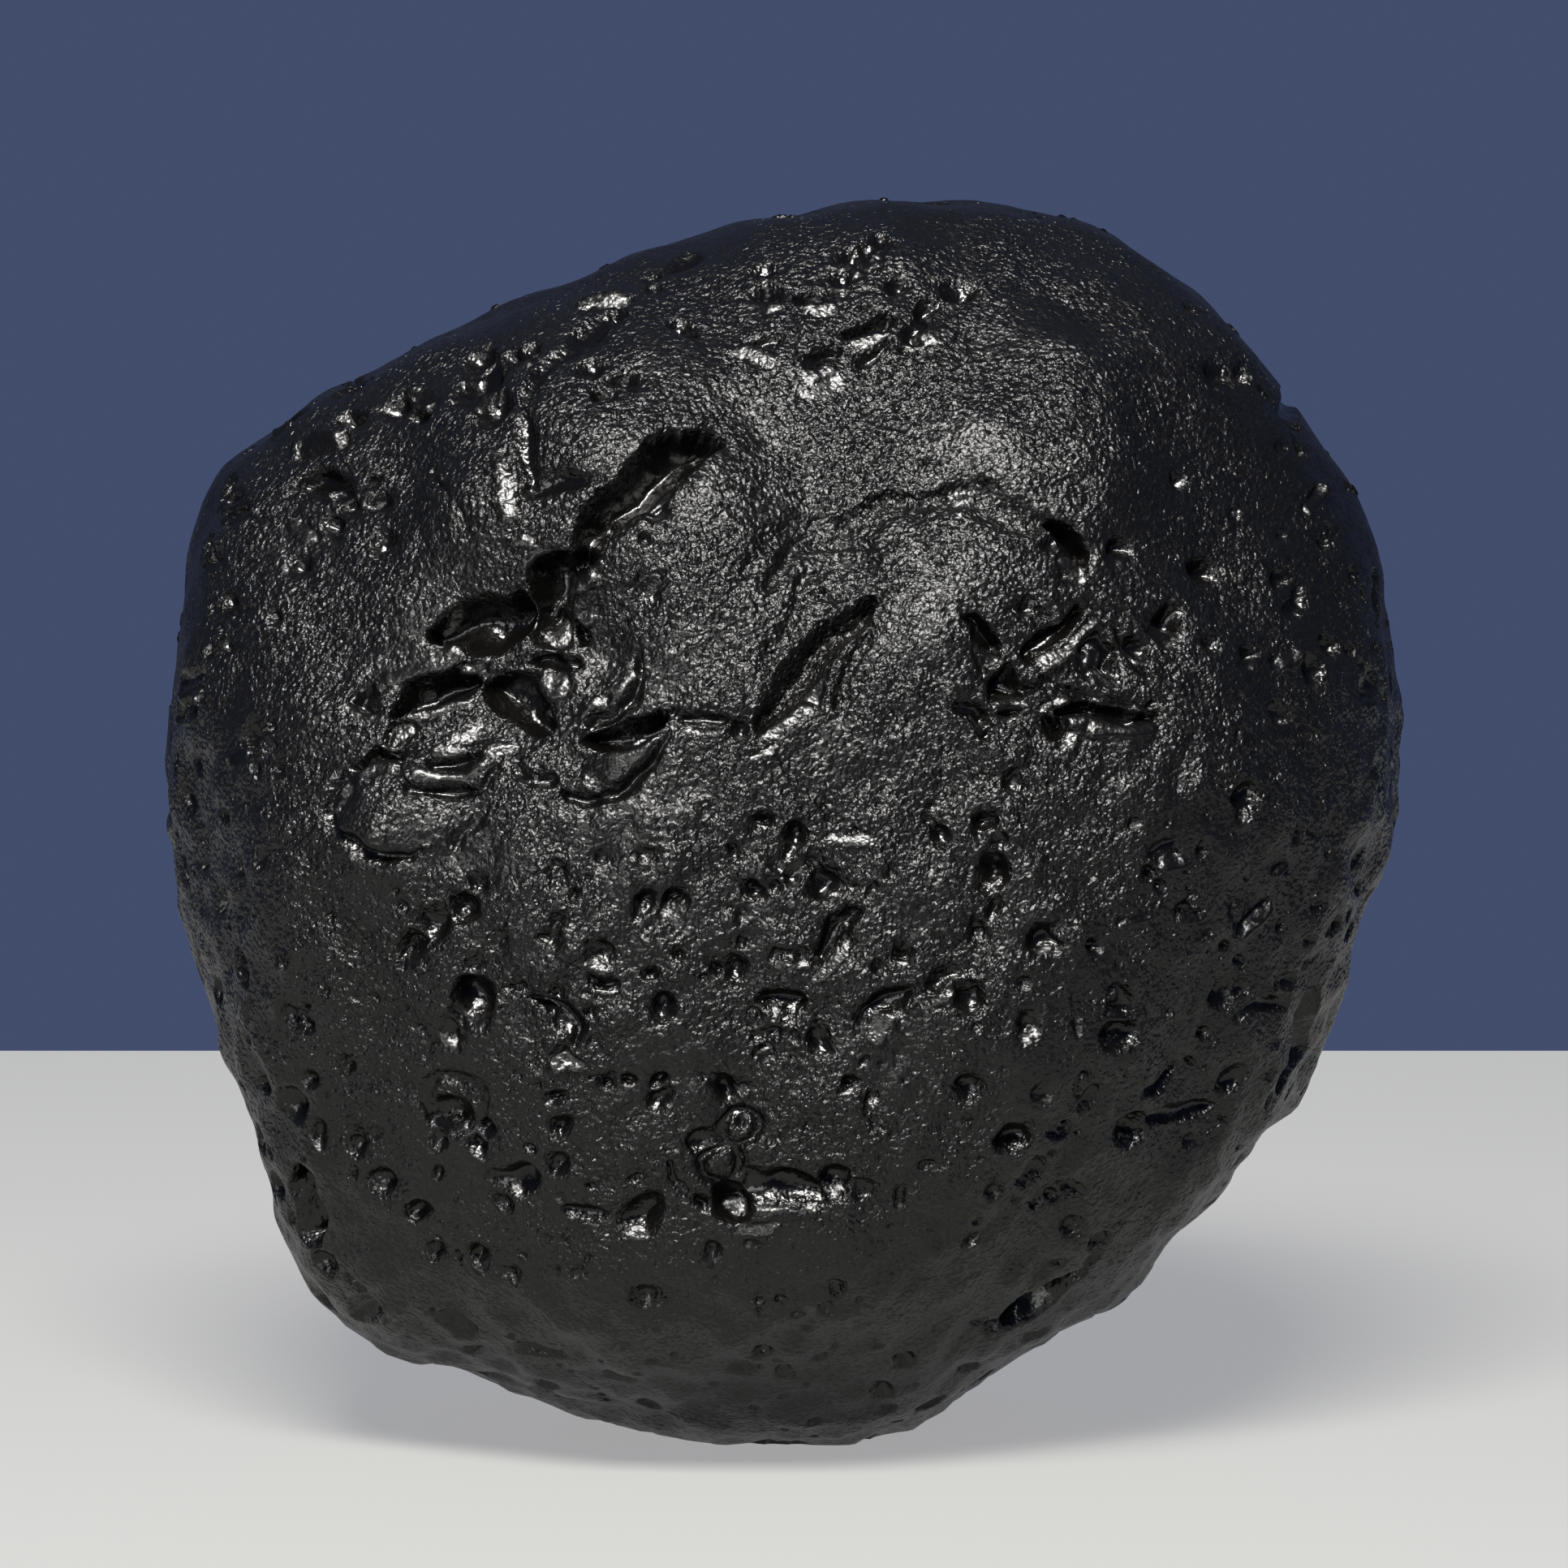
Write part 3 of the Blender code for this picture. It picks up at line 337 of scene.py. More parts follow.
    (0.04, (20.5, 31.85, 0.36), (21, 31.95, 0.36)), (0.04, (18.6, 30.35, 0.36), (19.2, 30.6, 0.36)),
    (0.04, (20.3, 29, 0.48)), (0.02, (18.2, 28.55, 0.36), (18.5, 28.3, 0.36)), (0.02, (23.7, 30.2, 0.36)),
    (0.02, (24.1, 26.8, 0.36)),
    # the lower right
    (0.04, (15.2, 23.55, 0.4), (15.8, 23.7, 0.4)), (0.04, (14.6, 22.75, 0.38)), (0.02, (15, 22.3, 0.31)),
    (0.02, (16.9, 23.9, 0.31)), (0.04, (20.2, 23.2, 0.31), (20.5, 23.4, 0.3)),
    (0.03, (13.8, 21.2, 0.31), (14.4, 21.25, 0.3)), (0.02, (16.2, 21.05, 0.3), (16.9, 21.1, 0.3)),
    (0.02, (18.5, 21.25, 0.3)), (0.03, (19.3, 20.9, 0.38), (19.9, 21.7, 0.38)), (0.04, (10.5, 20.2, 0.42)),
    (0.02, (12.6, 19.9, 0.4)), (0.04, (13.6, 17.3, 0.5)), (0.03, (13.3, 16.35, 0.3)),
    (0.02, (9.7, 16.9, 0.45)), (0.03, (11.9, 13.7, 0.31)), (0.04, (11.2, 12.25, 0.31)),
    (0.06, (9, 12.15, 0.31), (9.6, 12.15, 0.31)), (0.06, (14.3, 12.05, 0.42)), (0.04, (11.3, 9.2, 0.38)),
    # the lower left and the foot
    (0.05, (-14.6, 12.6, 0.31), (-13.9, 12.5, 0.38), (-13.2, 12.55, 0.31)),
    (0.03, (-11.3, 10.15, 0.22), (-10.8, 10.1, 0.22)), (0.02, (-12.3, 12.1, 0.45)),
    (0.03, (-9.6, 10.6, 0.35)), (0.03, (-8.6, 9.05, 0.18), (-7.9, 8.9, 0.2), (-7.3, 8.65, 0.18)),
    (0.03, (-6, 8.55, 0.25), (-5.4, 8.55, 0.25)), (0.04, (-3.3, 9.45, 0.42)), (0.02, (-4.1, 10, 0.3)),
    (0.03, (-2.2, 9.7, 0.25), (-1.6, 9.5, 0.25)),
    (0.03, (-1.1, 9.7, 0.2), (0.2, 9.5, 0.2), (1.4, 9.6, 0.22)), (0.04, (2.2, 10.1, 0.42)),
    (0.02, (-1.8, 8.8, 0.3), (-0.4, 9.1, 0.3)), (0.04, (-12.4, 6.9, 0.42)), (0.02, (-2.9, 7.65, 0.35)),
)
TOWARDS_LIGHT = np.array([-0.05, -0.93, 0.36])  # the way a glint faces, on the upright stone
TURN = 0.95  # how far a glint turns to the light
GLINT_CORE = 0.6  # the share of its reach within which a glint is flat
LEAST_FACING = 0.2  # the least cosine of the angle from the light that a glint reckons with
MOST_RISE = 1.2  # of a glint, up or down: times the cosine and its half width
STEEPEST = 0.9  # and at most this times its half width

# The bead and pit of a lone glint, as shares of its half width.
BEAD_LENGTH = 0.95  # from its middle to each end
BEAD_CURL = 0.4  # how far its ends curl up
BEAD_HEIGHT = 0.6
BEAD_TAPER = 0.6  # its ends' height, as a share of its own
BEAD_TILT = 0.35  # the most that an end is tilted, as a share of its length
TILTS = (7.0, 11.0)  # how fast the tilt varies over X and Z
PIT_OVER_BEAD = 0.9  # from the bead's middle up to the pit's
PIT_WIDTH = 1.15

# Grooves elsewhere: half width, depth, and the middle line's azimuths and elevations in degrees.
OTHER_GROOVES = (
    (1.2, 1.5, (196, 38), (188, 28), (184, 16)), (0.9, 1.1, (168, 30), (160, 22)),
    (1, 1.2, (216, 8), (208, 2), (198, -2)), (1.1, 1.3, (140, -4), (149, -10), (154, -20)),
    (0.9, 0.9, (238, -20), (230, -28)), (0.8, 0.9, (112, 34), (120, 28)), (0.8, 0.9, (252, 40), (260, 30)),
    (0.8, 0.9, (176, -8), (172, -20)), (0.8, 0.8, (140, 52), (156, 56)), (0.7, 0.7, (222, 60), (240, 66)),
    (0.8, 0.8, (128, -44), (138, -40)),
    (0.8, 0.5, (72, 38), (90, 40.2), (108, 41)),  # the notch in the rim
)

# Groups of pits elsewhere: azimuth and elevation of the middle, the spread in degrees, and how many.
PIT_GROUPS = (
    (100, 22, 16, 12), (262, 16, 16, 12), (190, 48, 18, 14), (208, -8, 18, 14), (148, 6, 16, 12),
    (176, 12, 14, 8), (116, -28, 16, 10), (246, -34, 16, 10), (160, -36, 16, 8), (130, 68, 16, 8),
    (240, 70, 14, 6), (196, 76, 12, 6), (225, 32, 14, 8),
)
PIT_SEED = 3322
SMALLEST_PIT = 0.7
LARGEST_PIT = 1.5
SHALLOWEST = 0.45  # a pit's depth, as a share of its radius
DEEPEST = 0.8

# Random small marks: fine pits, and flecks, which are small glints where the skin faces the light.
FINE_PITS = 1500
FINE_SEED = 77
FINE_PIT_DEPTH = 0.75  # of its radius
FLECKS = 1300
FLECK_SEED = 78
FLECKS_WITHIN = 0.2  # the cosine of the widest angle from the light that has flecks
FLECK_GLOSS = 0.4  # of a bead's
FINEST = 0.22
COARSEST = 0.75
MOSTLY_FINE = 2.5  # more makes the large ones rarer
BROW_FROM = 27.0  # above this height the front is bare of random marks
BROW_WITHIN = 0.5  # within this cosine of the angle from the light

# Irregularity: the skin rolls, and no pit or groove is quite round.
WAVES = 24  # in each field of unevenness
ROLL_HEIGHT = 0.32
ROLL_LENGTH = 13.0  # from one crest to the next
RIPPLE_HEIGHT = 0.07
RIPPLE_LENGTH = 4.5
RIM_PLANE_BAND = 6.0  # the roll fades out towards the outline's plane within this distance
DIMPLES = ((2.2, 0.05, 31), (1.4, 0.03, 32))  # length, height and seed
DIMPLED_BELOW = 29.0  # the dimples are full below this height
DIMPLES_FADE = 6.0  # and how far above that they fade
DIMPLES_LEFT = 0.25  # to this share
STIRS = ((3.2, 0.14, 41), (1.1, 0.045, 51))  # how marks are pushed off their lines: length, reach, seed
BLUNTNESS = 0.9  # how round a hollow's bottom is, as a share of its half width
DOWN = np.array([0.2, -0.35, -0.92])  # towards the foot, over the front
SLANTED = 0.3  # the least cosine of the skin's angle from the front that a mark's width reckons with
WIDENING = 0.3  # the power of it that the width is divided by
GLASSY_DEPTH = 0.35  # hollows this deep are smooth glass

# The shader's textures, in cells a metre, and the heights of their bumps in metres.
GRAIN_SCALE = 4800.0
GRAIN_TILT = 0.55  # how far each grain's normal leans its own way
PEBBLE_SCALE = 5000.0
PEBBLE_HEIGHT = 0.00007
LUMP_SCALE = 1000.0
LUMP_HEIGHT = 0.00016
FINE_SCALE = 4200.0
FINE_HEIGHT = 0.00014
STIR_SCALE = 3500.0
STIR_REACH = 0.00012  # how far the pebbles are pushed off a regular pattern
PATCH_SCALE = 260.0

# The shader's ramps: the low and high that each one reads, and what it gives there. Polish is -1 in
# glassy hollows, 0 on the skin and 1 on glints.
GRAIN_BY_HEIGHT = (0.004, 0.0135, 0.6, 1.0)  # weaker at the foot
GRAIN_BY_SIDE = (0.009, 0.016, 1.0, 0.85)  # and a little on the right
GRAIN_BY_PATCH = (0.35, 0.55, 0.55, 1.0)
GRAIN_ON_GLINTS = (0.3, 1.0, 1.0, 0.25)
GRAIN_IN_HOLLOWS = (-1.0, -0.1, 0.2, 1.0)
ROUGHNESS = (-1.0, 0.0, 0.2, 0.37)
SMOOTHER_ON_GLINTS = (0.3, 1.0, 0.0, 0.08)

# The studio. Each light: its place, the point it faces, its sides and its power in watts.
FLOOR_BACK = 123.5  # its far edge, behind the stone
FLOOR_FRONT = -60.0
FLOOR_SIDE = 130.0
LIGHTS = {
    "key": ((-25, -250, 300), (0, 0, 25), (170, 100), 5.3),
    "front": ((-140, -300, 40), (-10, 0, 20), (200, 100), 0.5),
}


def waviness(points, length, seed):
    """A smooth field of about unit height: waves of one length that cross from all directions."""
    chance = np.random.default_rng(seed)
    headings = unit(chance.normal(size=(WAVES, 3))) * (math.tau / length)
    starts = chance.uniform(0.0, math.tau, WAVES)
    field = np.zeros(len(points))
    for heading, start in zip(headings, starts):
        field += np.sin(points @ heading + start)
    return field * math.sqrt(2.0 / WAVES)


def unit(vectors):
    """The vectors at length one."""
    return vectors / np.linalg.norm(vectors, axis=-1, keepdims=True)


def wrapped(angles):
    """The angles within half a turn of zero."""
    return (angles + math.pi) % math.tau - math.pi


def outline_reach(angles):
    """Distance from the centre to the outline at each angle: a smooth cubic through its points."""
    ends = np.array(OUTLINE) - CENTRE[[0, 2]]
    knots = np.arctan2(ends[:, 1], ends[:, 0])
    order = np.argsort(knots)
    knots = knots[order]
    reaches = np.hypot(ends[:, 0], ends[:, 1])[order]
    knots = np.concatenate((knots[-2:] - math.tau, knots, knots[:2] + math.tau))
    reaches = np.concatenate((reaches[-2:], reaches, reaches[:2]))
    slopes = np.gradient(reaches, knots)
    right = np.clip(np.searchsorted(knots, angles), 2, len(knots) - 2)
    left = right - 1
    step = knots[right] - knots[left]
    t = (angles - knots[left]) / step
    from_left = reaches[left] * (1 + 2 * t) * (1 - t) ** 2 + slopes[left] * step * t * (1 - t) ** 2
    from_right = reaches[right] * t**2 * (3 - 2 * t) + slopes[right] * step * t**2 * (t - 1)
    return from_left + from_right


def lump(directions):
    """Points of the plain lump, outline and domes only, from the centre along unit directions."""
    across = np.hypot(directions[:, 0], directions[:, 2])
    angles = np.arctan2(directions[:, 2], directions[:, 0])
    evened = sum(outline_reach(wrapped(angles + turn)) for turn in EVENING_TURNS) / len(EVENING_TURNS)
    on_rim = np.exp(-((directions[:, 1] / EVENED_BEYOND) ** 2))
    rim = evened + on_rim * (outline_reach(angles) - evened)
    depth = np.where(directions[:, 1] < 0.0, FRONT_DEPTH, BACK_DEPTH)
    share = (across / rim) ** PLUMPNESS + (np.abs(directions[:, 1]) / depth) ** PLUMPNESS
    return CENTRE + directions * share[:, None] ** (-1.0 / PLUMPNESS)


def sighted(spots):
    """Directions from the centre to where lines of sight through X, Z spots meet the front."""
    spots = np.array(spots, dtype=float)
    seen = np.column_stack((spots[:, 0], np.zeros(len(spots)), spots[:, 1]))
    near = np.full(len(spots), -FRONT_DEPTH - 1.0)
    far = np.zeros(len(spots))
    for _ in range(SIGHT_STEPS):
        middle = (near + far) / 2.0
        offsets = EYE + (seen - EYE) * ((middle - EYE[1]) / -EYE[1])[:, None] - CENTRE
        towards = unit(offsets)
        skin = np.linalg.norm(lump(towards) - CENTRE, axis=1)
        outside = np.linalg.norm(offsets, axis=1) > skin
        near = np.where(outside, middle, near)
        far = np.where(outside, far, middle)
    return towards


def bearing(spots):
    """Directions from the centre at azimuths and elevations in degrees."""
    azimuth, elevation = np.radians(np.array(spots, dtype=float)).T
    level = np.cos(elevation)
    return np.column_stack((np.sin(azimuth) * level, -np.cos(azimuth) * level, np.sin(elevation)))


def scattered_pits():
    """The groups of pits that aren't on the front, as direction, radius and depth."""
    chance = np.random.default_rng(PIT_SEED)
    pits = []
    for azimuth, elevation, spread, count in PIT_GROUPS:
        for _ in range(count):
            spot = (azimuth + chance.normal(0.0, spread / 2), elevation + chance.normal(0.0, spread / 2))
            radius = SMALLEST_PIT + (LARGEST_PIT - SMALLEST_PIT) * chance.random() ** 2
            pits.append((bearing([spot])[0], radius, radius * chance.uniform(SHALLOWEST, DEEPEST)))
    return pits


def strewn(count, seed):
    """Random small marks: their middles on the plain lump, and their radii. The brow has none."""
    chance = np.random.default_rng(seed)
    middles = lump(unit(chance.normal(size=(count, 3))))
    radii = FINEST + (COARSEST - FINEST) * chance.random(count) ** MOSTLY_FINE
    on_brow = (middles[:, 2] > BROW_FROM) & (unit(middles - CENTRE) @ TOWARDS_LIGHT > BROW_WITHIN)
    return middles[~on_brow], radii[~on_brow]


def add_swells(points):
    """The skin of the plain lump with its soft swells and its rolling unevenness."""
    outward = unit(points - CENTRE)
    rise = np.zeros(len(points))
    middles = np.vstack((sighted([s[:2] for s in FRONT_SWELLS]), bearing([s[:2] for s in OTHER_SWELLS])))
    for middle, (_, _, radius, height) in zip(lump(middles), FRONT_SWELLS + OTHER_SWELLS):
        distance = np.linalg.norm(points - middle, axis=1)
        rise += height * np.exp(-((distance / radius) ** 2))
    from_rim = 1.0 - np.exp(-((points[:, 1] / RIM_PLANE_BAND) ** 2))
    rise += from_rim * ROLL_HEIGHT * waviness(points, ROLL_LENGTH, seed=11)
    rise += RIPPLE_HEIGHT * waviness(points, RIPPLE_LENGTH, seed=12)
    fade = np.clip(1.0 - (points[:, 2] - DIMPLED_BELOW) / DIMPLES_FADE, DIMPLES_LEFT, 1.0)
    for length, height, seed in DIMPLES:
        rise += height * fade * waviness(points, length, seed)
    return points + outward * rise[:, None]


def stirred(points):
    """The points pushed about by small waves, so that no mark drawn on them is quite regular."""
    pushed = points.copy()
    for length, reach, seed in STIRS:
        for axis in range(3):
            pushed[:, axis] += reach * waviness(points, length, seed + axis)
    return pushed


def nearest_on_line(points, line, values):
    """The offset of each point from the nearest place on a line, and the line's values there."""
    offsets = points - line[0]
    found = np.repeat(values[:1], len(points), axis=0)
    for start, end, first, last in zip(line[:-1], line[1:], values[:-1], values[1:]):
        run = end - start
        along = np.clip((points - start) @ run / (run @ run), 0.0, 1.0)[:, None]
        offset = points - start - along * run
        nearer = np.linalg.norm(offset, axis=1) < np.linalg.norm(offsets, axis=1)
        offsets[nearer] = offset[nearer]
        found[nearer] = (first + (last - first) * along)[nearer]
    return offsets, found


def on_front(mark):
    """A front mark's line on the plain lump, and the half widths along it, as wide as they look."""
    towards = sighted([spot[:2] for spot in mark])
    seen_flat = np.maximum(-towards[:, 1], SLANTED)
    return lump(towards), np.array([spot[2] for spot in mark]) / seen_flat**WIDENING


class Ground:
    """The plain lump's points, a little stirred, as the marks are drawn on them."""

    def __init__(self, plain):
        self.points = stirred(plain)
        self.tree = KDTree(len(plain))
        for number, point in enumerate(self.points):
            self.tree.insert(point, number)
        self.tree.balance()

    def near(self, line, half_widths):
        """The numbers of the points that a mark along a line can reach."""
        middle = line.mean(axis=0)
        reach = np.linalg.norm(line - middle, axis=1).max() + half_widths.max()
        return np.array([number for _, number, _ in self.tree.find_range(middle, reach)], dtype=int)


def carve(depths, ground, line, half_widths, depth, skew=0.0):
    """Deepen the hollows by one groove along a line, or by one pit at a line of one point."""
    near = ground.near(line, half_widths)
    if len(near) == 0:
        return
    offsets, widths = nearest_on_line(ground.points[near], line, half_widths[:, None])
    distance = np.linalg.norm(offsets, axis=1)
    downward = offsets @ DOWN / np.maximum(distance, 1e-6)
    share = np.minimum(distance / (widths[:, 0] * (1.0 + skew * downward)), 1.0)
    rim = math.hypot(1.0, BLUNTNESS)
    bowl = depth * (rim - np.hypot(share, BLUNTNESS)) / (rim - BLUNTNESS)
    depths[near] = np.maximum(depths[near], bowl)


def dig_ring(depths, ground, middle, radius, depth):
    """Deepen the hollows by a round moat, with a low dome left inside."""
    half_width = radius * MOAT_HALF_WIDTH
    near = ground.near(middle[None], np.array([radius + half_width]))
    distance = np.linalg.norm(ground.points[near] - middle, axis=1)
    share = np.minimum(np.abs(distance - radius) / half_width, 1.0)
    depths[near] = np.maximum(depths[near], depth * (1.0 - share**2))


def bead_and_pit(spot):
    """A lone glint as a short line, and the small pit over it whose lower wall it is."""
    x, z, half_width = spot
    reach = BEAD_LENGTH * half_width
    tilt = BEAD_TILT * reach * math.sin(TILTS[0] * x + TILTS[1] * z)
    curl = BEAD_CURL * half_width
    height = BEAD_HEIGHT * half_width
    bead = (
        (x - reach, z + curl - tilt, height * BEAD_TAPER),
        (x, z, height),
        (x + reach, z + curl + tilt, height * BEAD_TAPER),
    )
    return bead, ((x, z + PIT_OVER_BEAD * half_width, PIT_WIDTH * half_width),)


def hollow_depths(ground):
    """How far each point sinks into a groove, a pit or a ring."""
    depths = np.zeros(len(ground.points))
    for depth, skew, *mark in FRONT_GROOVES:
        carve(depths, ground, *on_front(mark), depth, skew)
    for x, z, radius, depth, *skew in FRONT_PITS:
        carve(depths, ground, *on_front([(x, z, radius)]), depth, *skew)
    for _, *mark in FRONT_GLINTS:
        if len(mark) == 1:
            pit = bead_and_pit(mark[0])[1]
            carve(depths, ground, *on_front(pit), pit[0][2])
    for x, z, radius, depth in FRONT_RINGS:
        dig_ring(depths, ground, lump(sighted([(x, z)]))[0], radius, depth)
    for half_width, depth, *spots in OTHER_GROOVES:
        carve(depths, ground, lump(bearing(spots)), half_width * np.ones(len(spots)), depth)
    for direction, radius, depth in scattered_pits():
        carve(depths, ground, lump(direction[None]), np.array([radius]), depth)
    for middle, radius in zip(*strewn(FINE_PITS, FINE_SEED)):
        carve(depths, ground, middle[None], np.array([radius]), radius * FINE_PIT_DEPTH)
    return depths


class Skin:
    """The carved skin: its points, how polished each is, and where it was before it was carved."""

    def __init__(self, ground, swollen, outward):
        depths = hollow_depths(ground)
        sunk = depths.copy()
        for depth, skew, *mark in FRONT_TROUGHS:
            carve(sunk, ground, *on_front(mark), depth, skew)
        self.ground = ground
        self.swollen = swollen
        self.outward = outward
        self.points = swollen - outward * sunk[:, None]
        self.polish = -np.minimum(depths / GLASSY_DEPTH, 1.0)

    def anchors(self, line):
        """Where a line runs, at the mean depth of the skin along it."""
        under = [self.ground.tree.find(spot)[1] for spot in line]
        level = ((self.points[under] - self.swollen[under]) * self.outward[under]).sum(axis=1).mean()
        return self.swollen[under] + self.outward[under] * level

    def turn_to_light(self, line, half_widths, lift, gloss=1.0):
        """Turn the skin to face the light along a line, or at a line of one point."""
        near = self.ground.near(line, half_widths)
        if len(near) == 0:
            return
        values = np.column_stack((half_widths, self.anchors(line)))
        offsets, values = nearest_on_line(self.ground.points[near], line, values)
        share = np.linalg.norm(offsets, axis=1) / values[:, 0]
        fade = np.clip((share - GLINT_CORE) / (1.0 - GLINT_CORE), 0.0, 1.0)
        hold = 1.0 - fade**2 * (3.0 - 2.0 * fade)
        facing = np.maximum(self.outward[near] @ TOWARDS_LIGHT, LEAST_FACING)
        rise = TURN * (values[:, 1:] - self.points[near]) @ TOWARDS_LIGHT / facing
        most = values[:, 0] * np.minimum(facing * MOST_RISE, STEEPEST)
        rise = np.clip(rise, -most, most)
        dome = np.maximum(1.0 - share**2, 0.0) ** 2
        self.points[near] += self.outward[near] * (rise * hold + lift * dome)[:, None]
        self.polish[near] = np.maximum(self.polish[near], (1.0 + gloss) * hold - 1.0)

    def add_glints(self):
        """Turn the beads, ridges, lower walls and flecks to the light."""
        for lift, *mark in FRONT_GLINTS:
            line = bead_and_pit(mark[0])[0] if len(mark) == 1 else mark
            self.turn_to_light(*on_front(line), lift)
        for middle, radius in zip(*strewn(FLECKS, FLECK_SEED)):
            if unit(middle - CENTRE) @ TOWARDS_LIGHT > FLECKS_WITHIN:
                self.turn_to_light(middle[None], np.array([radius / 2]), 0.0, FLECK_GLOSS)


def rows_of(vectors, name):
    """The named vectors of a mesh's vertices or normals."""
    values = np.empty(len(vectors) * 3)
    vectors.foreach_get(name, values)
    return values.reshape(-1, 3)


def set_positions(mesh, points):
    """Move the vertices to the points."""
    mesh.vertices.foreach_set("co", points.ravel())
    mesh.update()


def lean_back(points):
    """Turn the upright stone back onto its heel, with the floor at Z = 0."""
    depth = points[:, 1] * math.cos(LEAN) + points[:, 2] * math.sin(LEAN)
    height = points[:, 2] * math.cos(LEAN) - points[:, 1] * math.sin(LEAN)
    return np.column_stack((points[:, 0], depth, height - FLOOR_HEIGHT * math.cos(LEAN)))


def make_ball():
    """A fine ball with its centre at the origin, the start of the stone."""
    bpy.ops.mesh.primitive_ico_sphere_add(subdivisions=BALL_SUBDIVISIONS, radius=1.0)
    ball = bpy.context.object
    ball.name = ball.data.name = SKIN_NAME
    return ball


def shape_stone(stone):
    """Draw the ball out to the lump, raise its swells, carve its hollows and flatten its foot."""
    plain = lump(unit(rows_of(stone.data.vertices, "co")))
    swollen = add_swells(plain)
    set_positions(stone.data, swollen)
    skin = Skin(Ground(plain), swollen, rows_of(stone.data.vertex_normals, "vector"))
    skin.add_glints()
    leant = lean_back(skin.points)
    leant[:, 2] = np.maximum(leant[:, 2], 0.0)
    set_positions(stone.data, leant)
    attribute = stone.data.attributes.new("polish", "FLOAT", "POINT")
    attribute.data.foreach_set("value", skin.polish)


def thin_out(stone):
    """Keep the faces that the form needs, most of them on the front."""
    back = np.flatnonzero(unit(rows_of(stone.data.vertices, "co") - CENTRE) @ TOWARDS_LIGHT < BACK_BEYOND)
    stone.vertex_groups.new(name="back").add(back.tolist(), 1.0, "REPLACE")
    faces = len(stone.data.polygons)
    faces_left = faces * (1.0 - len(back) / len(stone.data.vertices)) + BACK_FACES_KEPT
    on_back = stone.modifiers.new("Thin out the back", "DECIMATE")
    on_back.ratio = faces_left / faces
    on_back.vertex_group = "back"
    on_back.vertex_group_factor = HELD_BACK
    everywhere = stone.modifiers.new("Thin out", "DECIMATE")
    everywhere.ratio = FACES_KEPT / faces_left
    depsgraph = bpy.context.evaluated_depsgraph_get()
    thinned = bpy.data.meshes.new_from_object(stone.evaluated_get(depsgraph))
    stone.modifiers.clear()
    stone.vertex_groups.clear()
    stone.data = thinned
    thinned.name = SKIN_NAME
    thinned.shade_smooth()


def seat(stone):
    """Move the stone to where its solid stands, and return how far it moved, in millimetres."""
    points = rows_of(stone.data.vertices, "co")
    points[points[:, 2] < FOOT_SNAP, 2] = 0.0
    low, high = (np.array(corner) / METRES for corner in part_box(NODE))
    shift = (low + high) / 2.0 - (points.min(axis=0) + points.max(axis=0)) / 2.0
    shift[2] = 0.0
    set_positions(stone.data, (points + shift) * METRES)
    return shift


def add_object(name, data):
    """A new object in the scene."""
    made = bpy.data.objects.new(name, data)
    bpy.context.scene.collection.objects.link(made)
    return made


def add_camera(shift):
    """The camera, at the eye that the front's marks were read from."""
    data = bpy.data.cameras.new("camera")
    data.sensor_fit = "HORIZONTAL"
    data.angle = 2.0 * math.atan(FRAME_WIDTH / 2.0 / -EYE[1])
    data.clip_start = 10.0 * METRES
    camera = add_object("camera", data)
    camera.location = Vector((lean_back(EYE[None])[0] + shift) * METRES)
    camera.rotation_euler = (math.pi / 2.0 - LEAN, 0.0, 0.0)
    bpy.context.scene.camera = camera


def set_inputs(made, **values):
    """Set a node's inputs by name."""
    for name, value in values.items():
        made.inputs[name.replace("_", " ")].default_value = value


def add_floor():
    """A plain pale floor that ends in a straight edge behind the stone."""
    depths = (FLOOR_FRONT, FLOOR_FRONT, FLOOR_BACK, FLOOR_BACK)
    sides = (-FLOOR_SIDE, FLOOR_SIDE, FLOOR_SIDE, -FLOOR_SIDE)
    corners = [(x * METRES, y * METRES, 0.0) for x, y in zip(sides, depths)]
    mesh = bpy.data.meshes.new("floor")
    mesh.from_pydata(corners, [], [(0, 1, 2, 3)])
    floor = add_object("floor", mesh)
    paint = bpy.data.materials.new("floor")
    paint.use_nodes = True
    shader = paint.node_tree.nodes["Principled BSDF"]
    set_inputs(shader, Base_Color=(0.115, 0.115, 0.105, 1.0), Roughness=0.6)
    set_inputs(shader, Emission_Color=(0.98, 0.98, 1.0, 1.0), Emission_Strength=0.36)
    mesh.materials.append(paint)


def add_softbox(name, place, aim, size, power):
    """One soft, slightly warm light, its place and the point it faces in millimetres."""
    data = bpy.data.lights.new(name, "AREA")
    data.shape = "RECTANGLE"
    data.size, data.size_y = (side * METRES for side in size)
    data.energy = power
    data.color = (1.0, 0.985, 0.95)
    lamp = add_object(name, data)
    lamp.location = Vector(place) * METRES
    lamp.rotation_euler = (Vector(aim) - Vector(place)).to_track_quat("-Z", "Y").to_euler()


def add_studio():
    """Plain soft light: an even cool surround, a large light above and a weak one aside."""
    world = bpy.data.worlds.new("studio")
    bpy.context.scene.world = world
    world.use_nodes = True
    set_inputs(world.node_tree.nodes["Background"], Color=(0.055, 0.075, 0.15, 1.0), Strength=1.0)
    bpy.context.scene.view_settings.view_transform = "Standard"
    for name, (place, aim, size, power) in LIGHTS.items():
        add_softbox(name, place, aim, size, power)


def ramp(tree, source, low, high, at_low, at_high):
    """A node that maps low and high of a source onto two values, and holds them beyond."""
    made = tree.nodes.new("ShaderNodeMapRange")
    set_inputs(made, From_Min=low, From_Max=high, To_Min=at_low, To_Max=at_high)
    tree.links.new(source, made.inputs["Value"])
    return made.outputs[0]


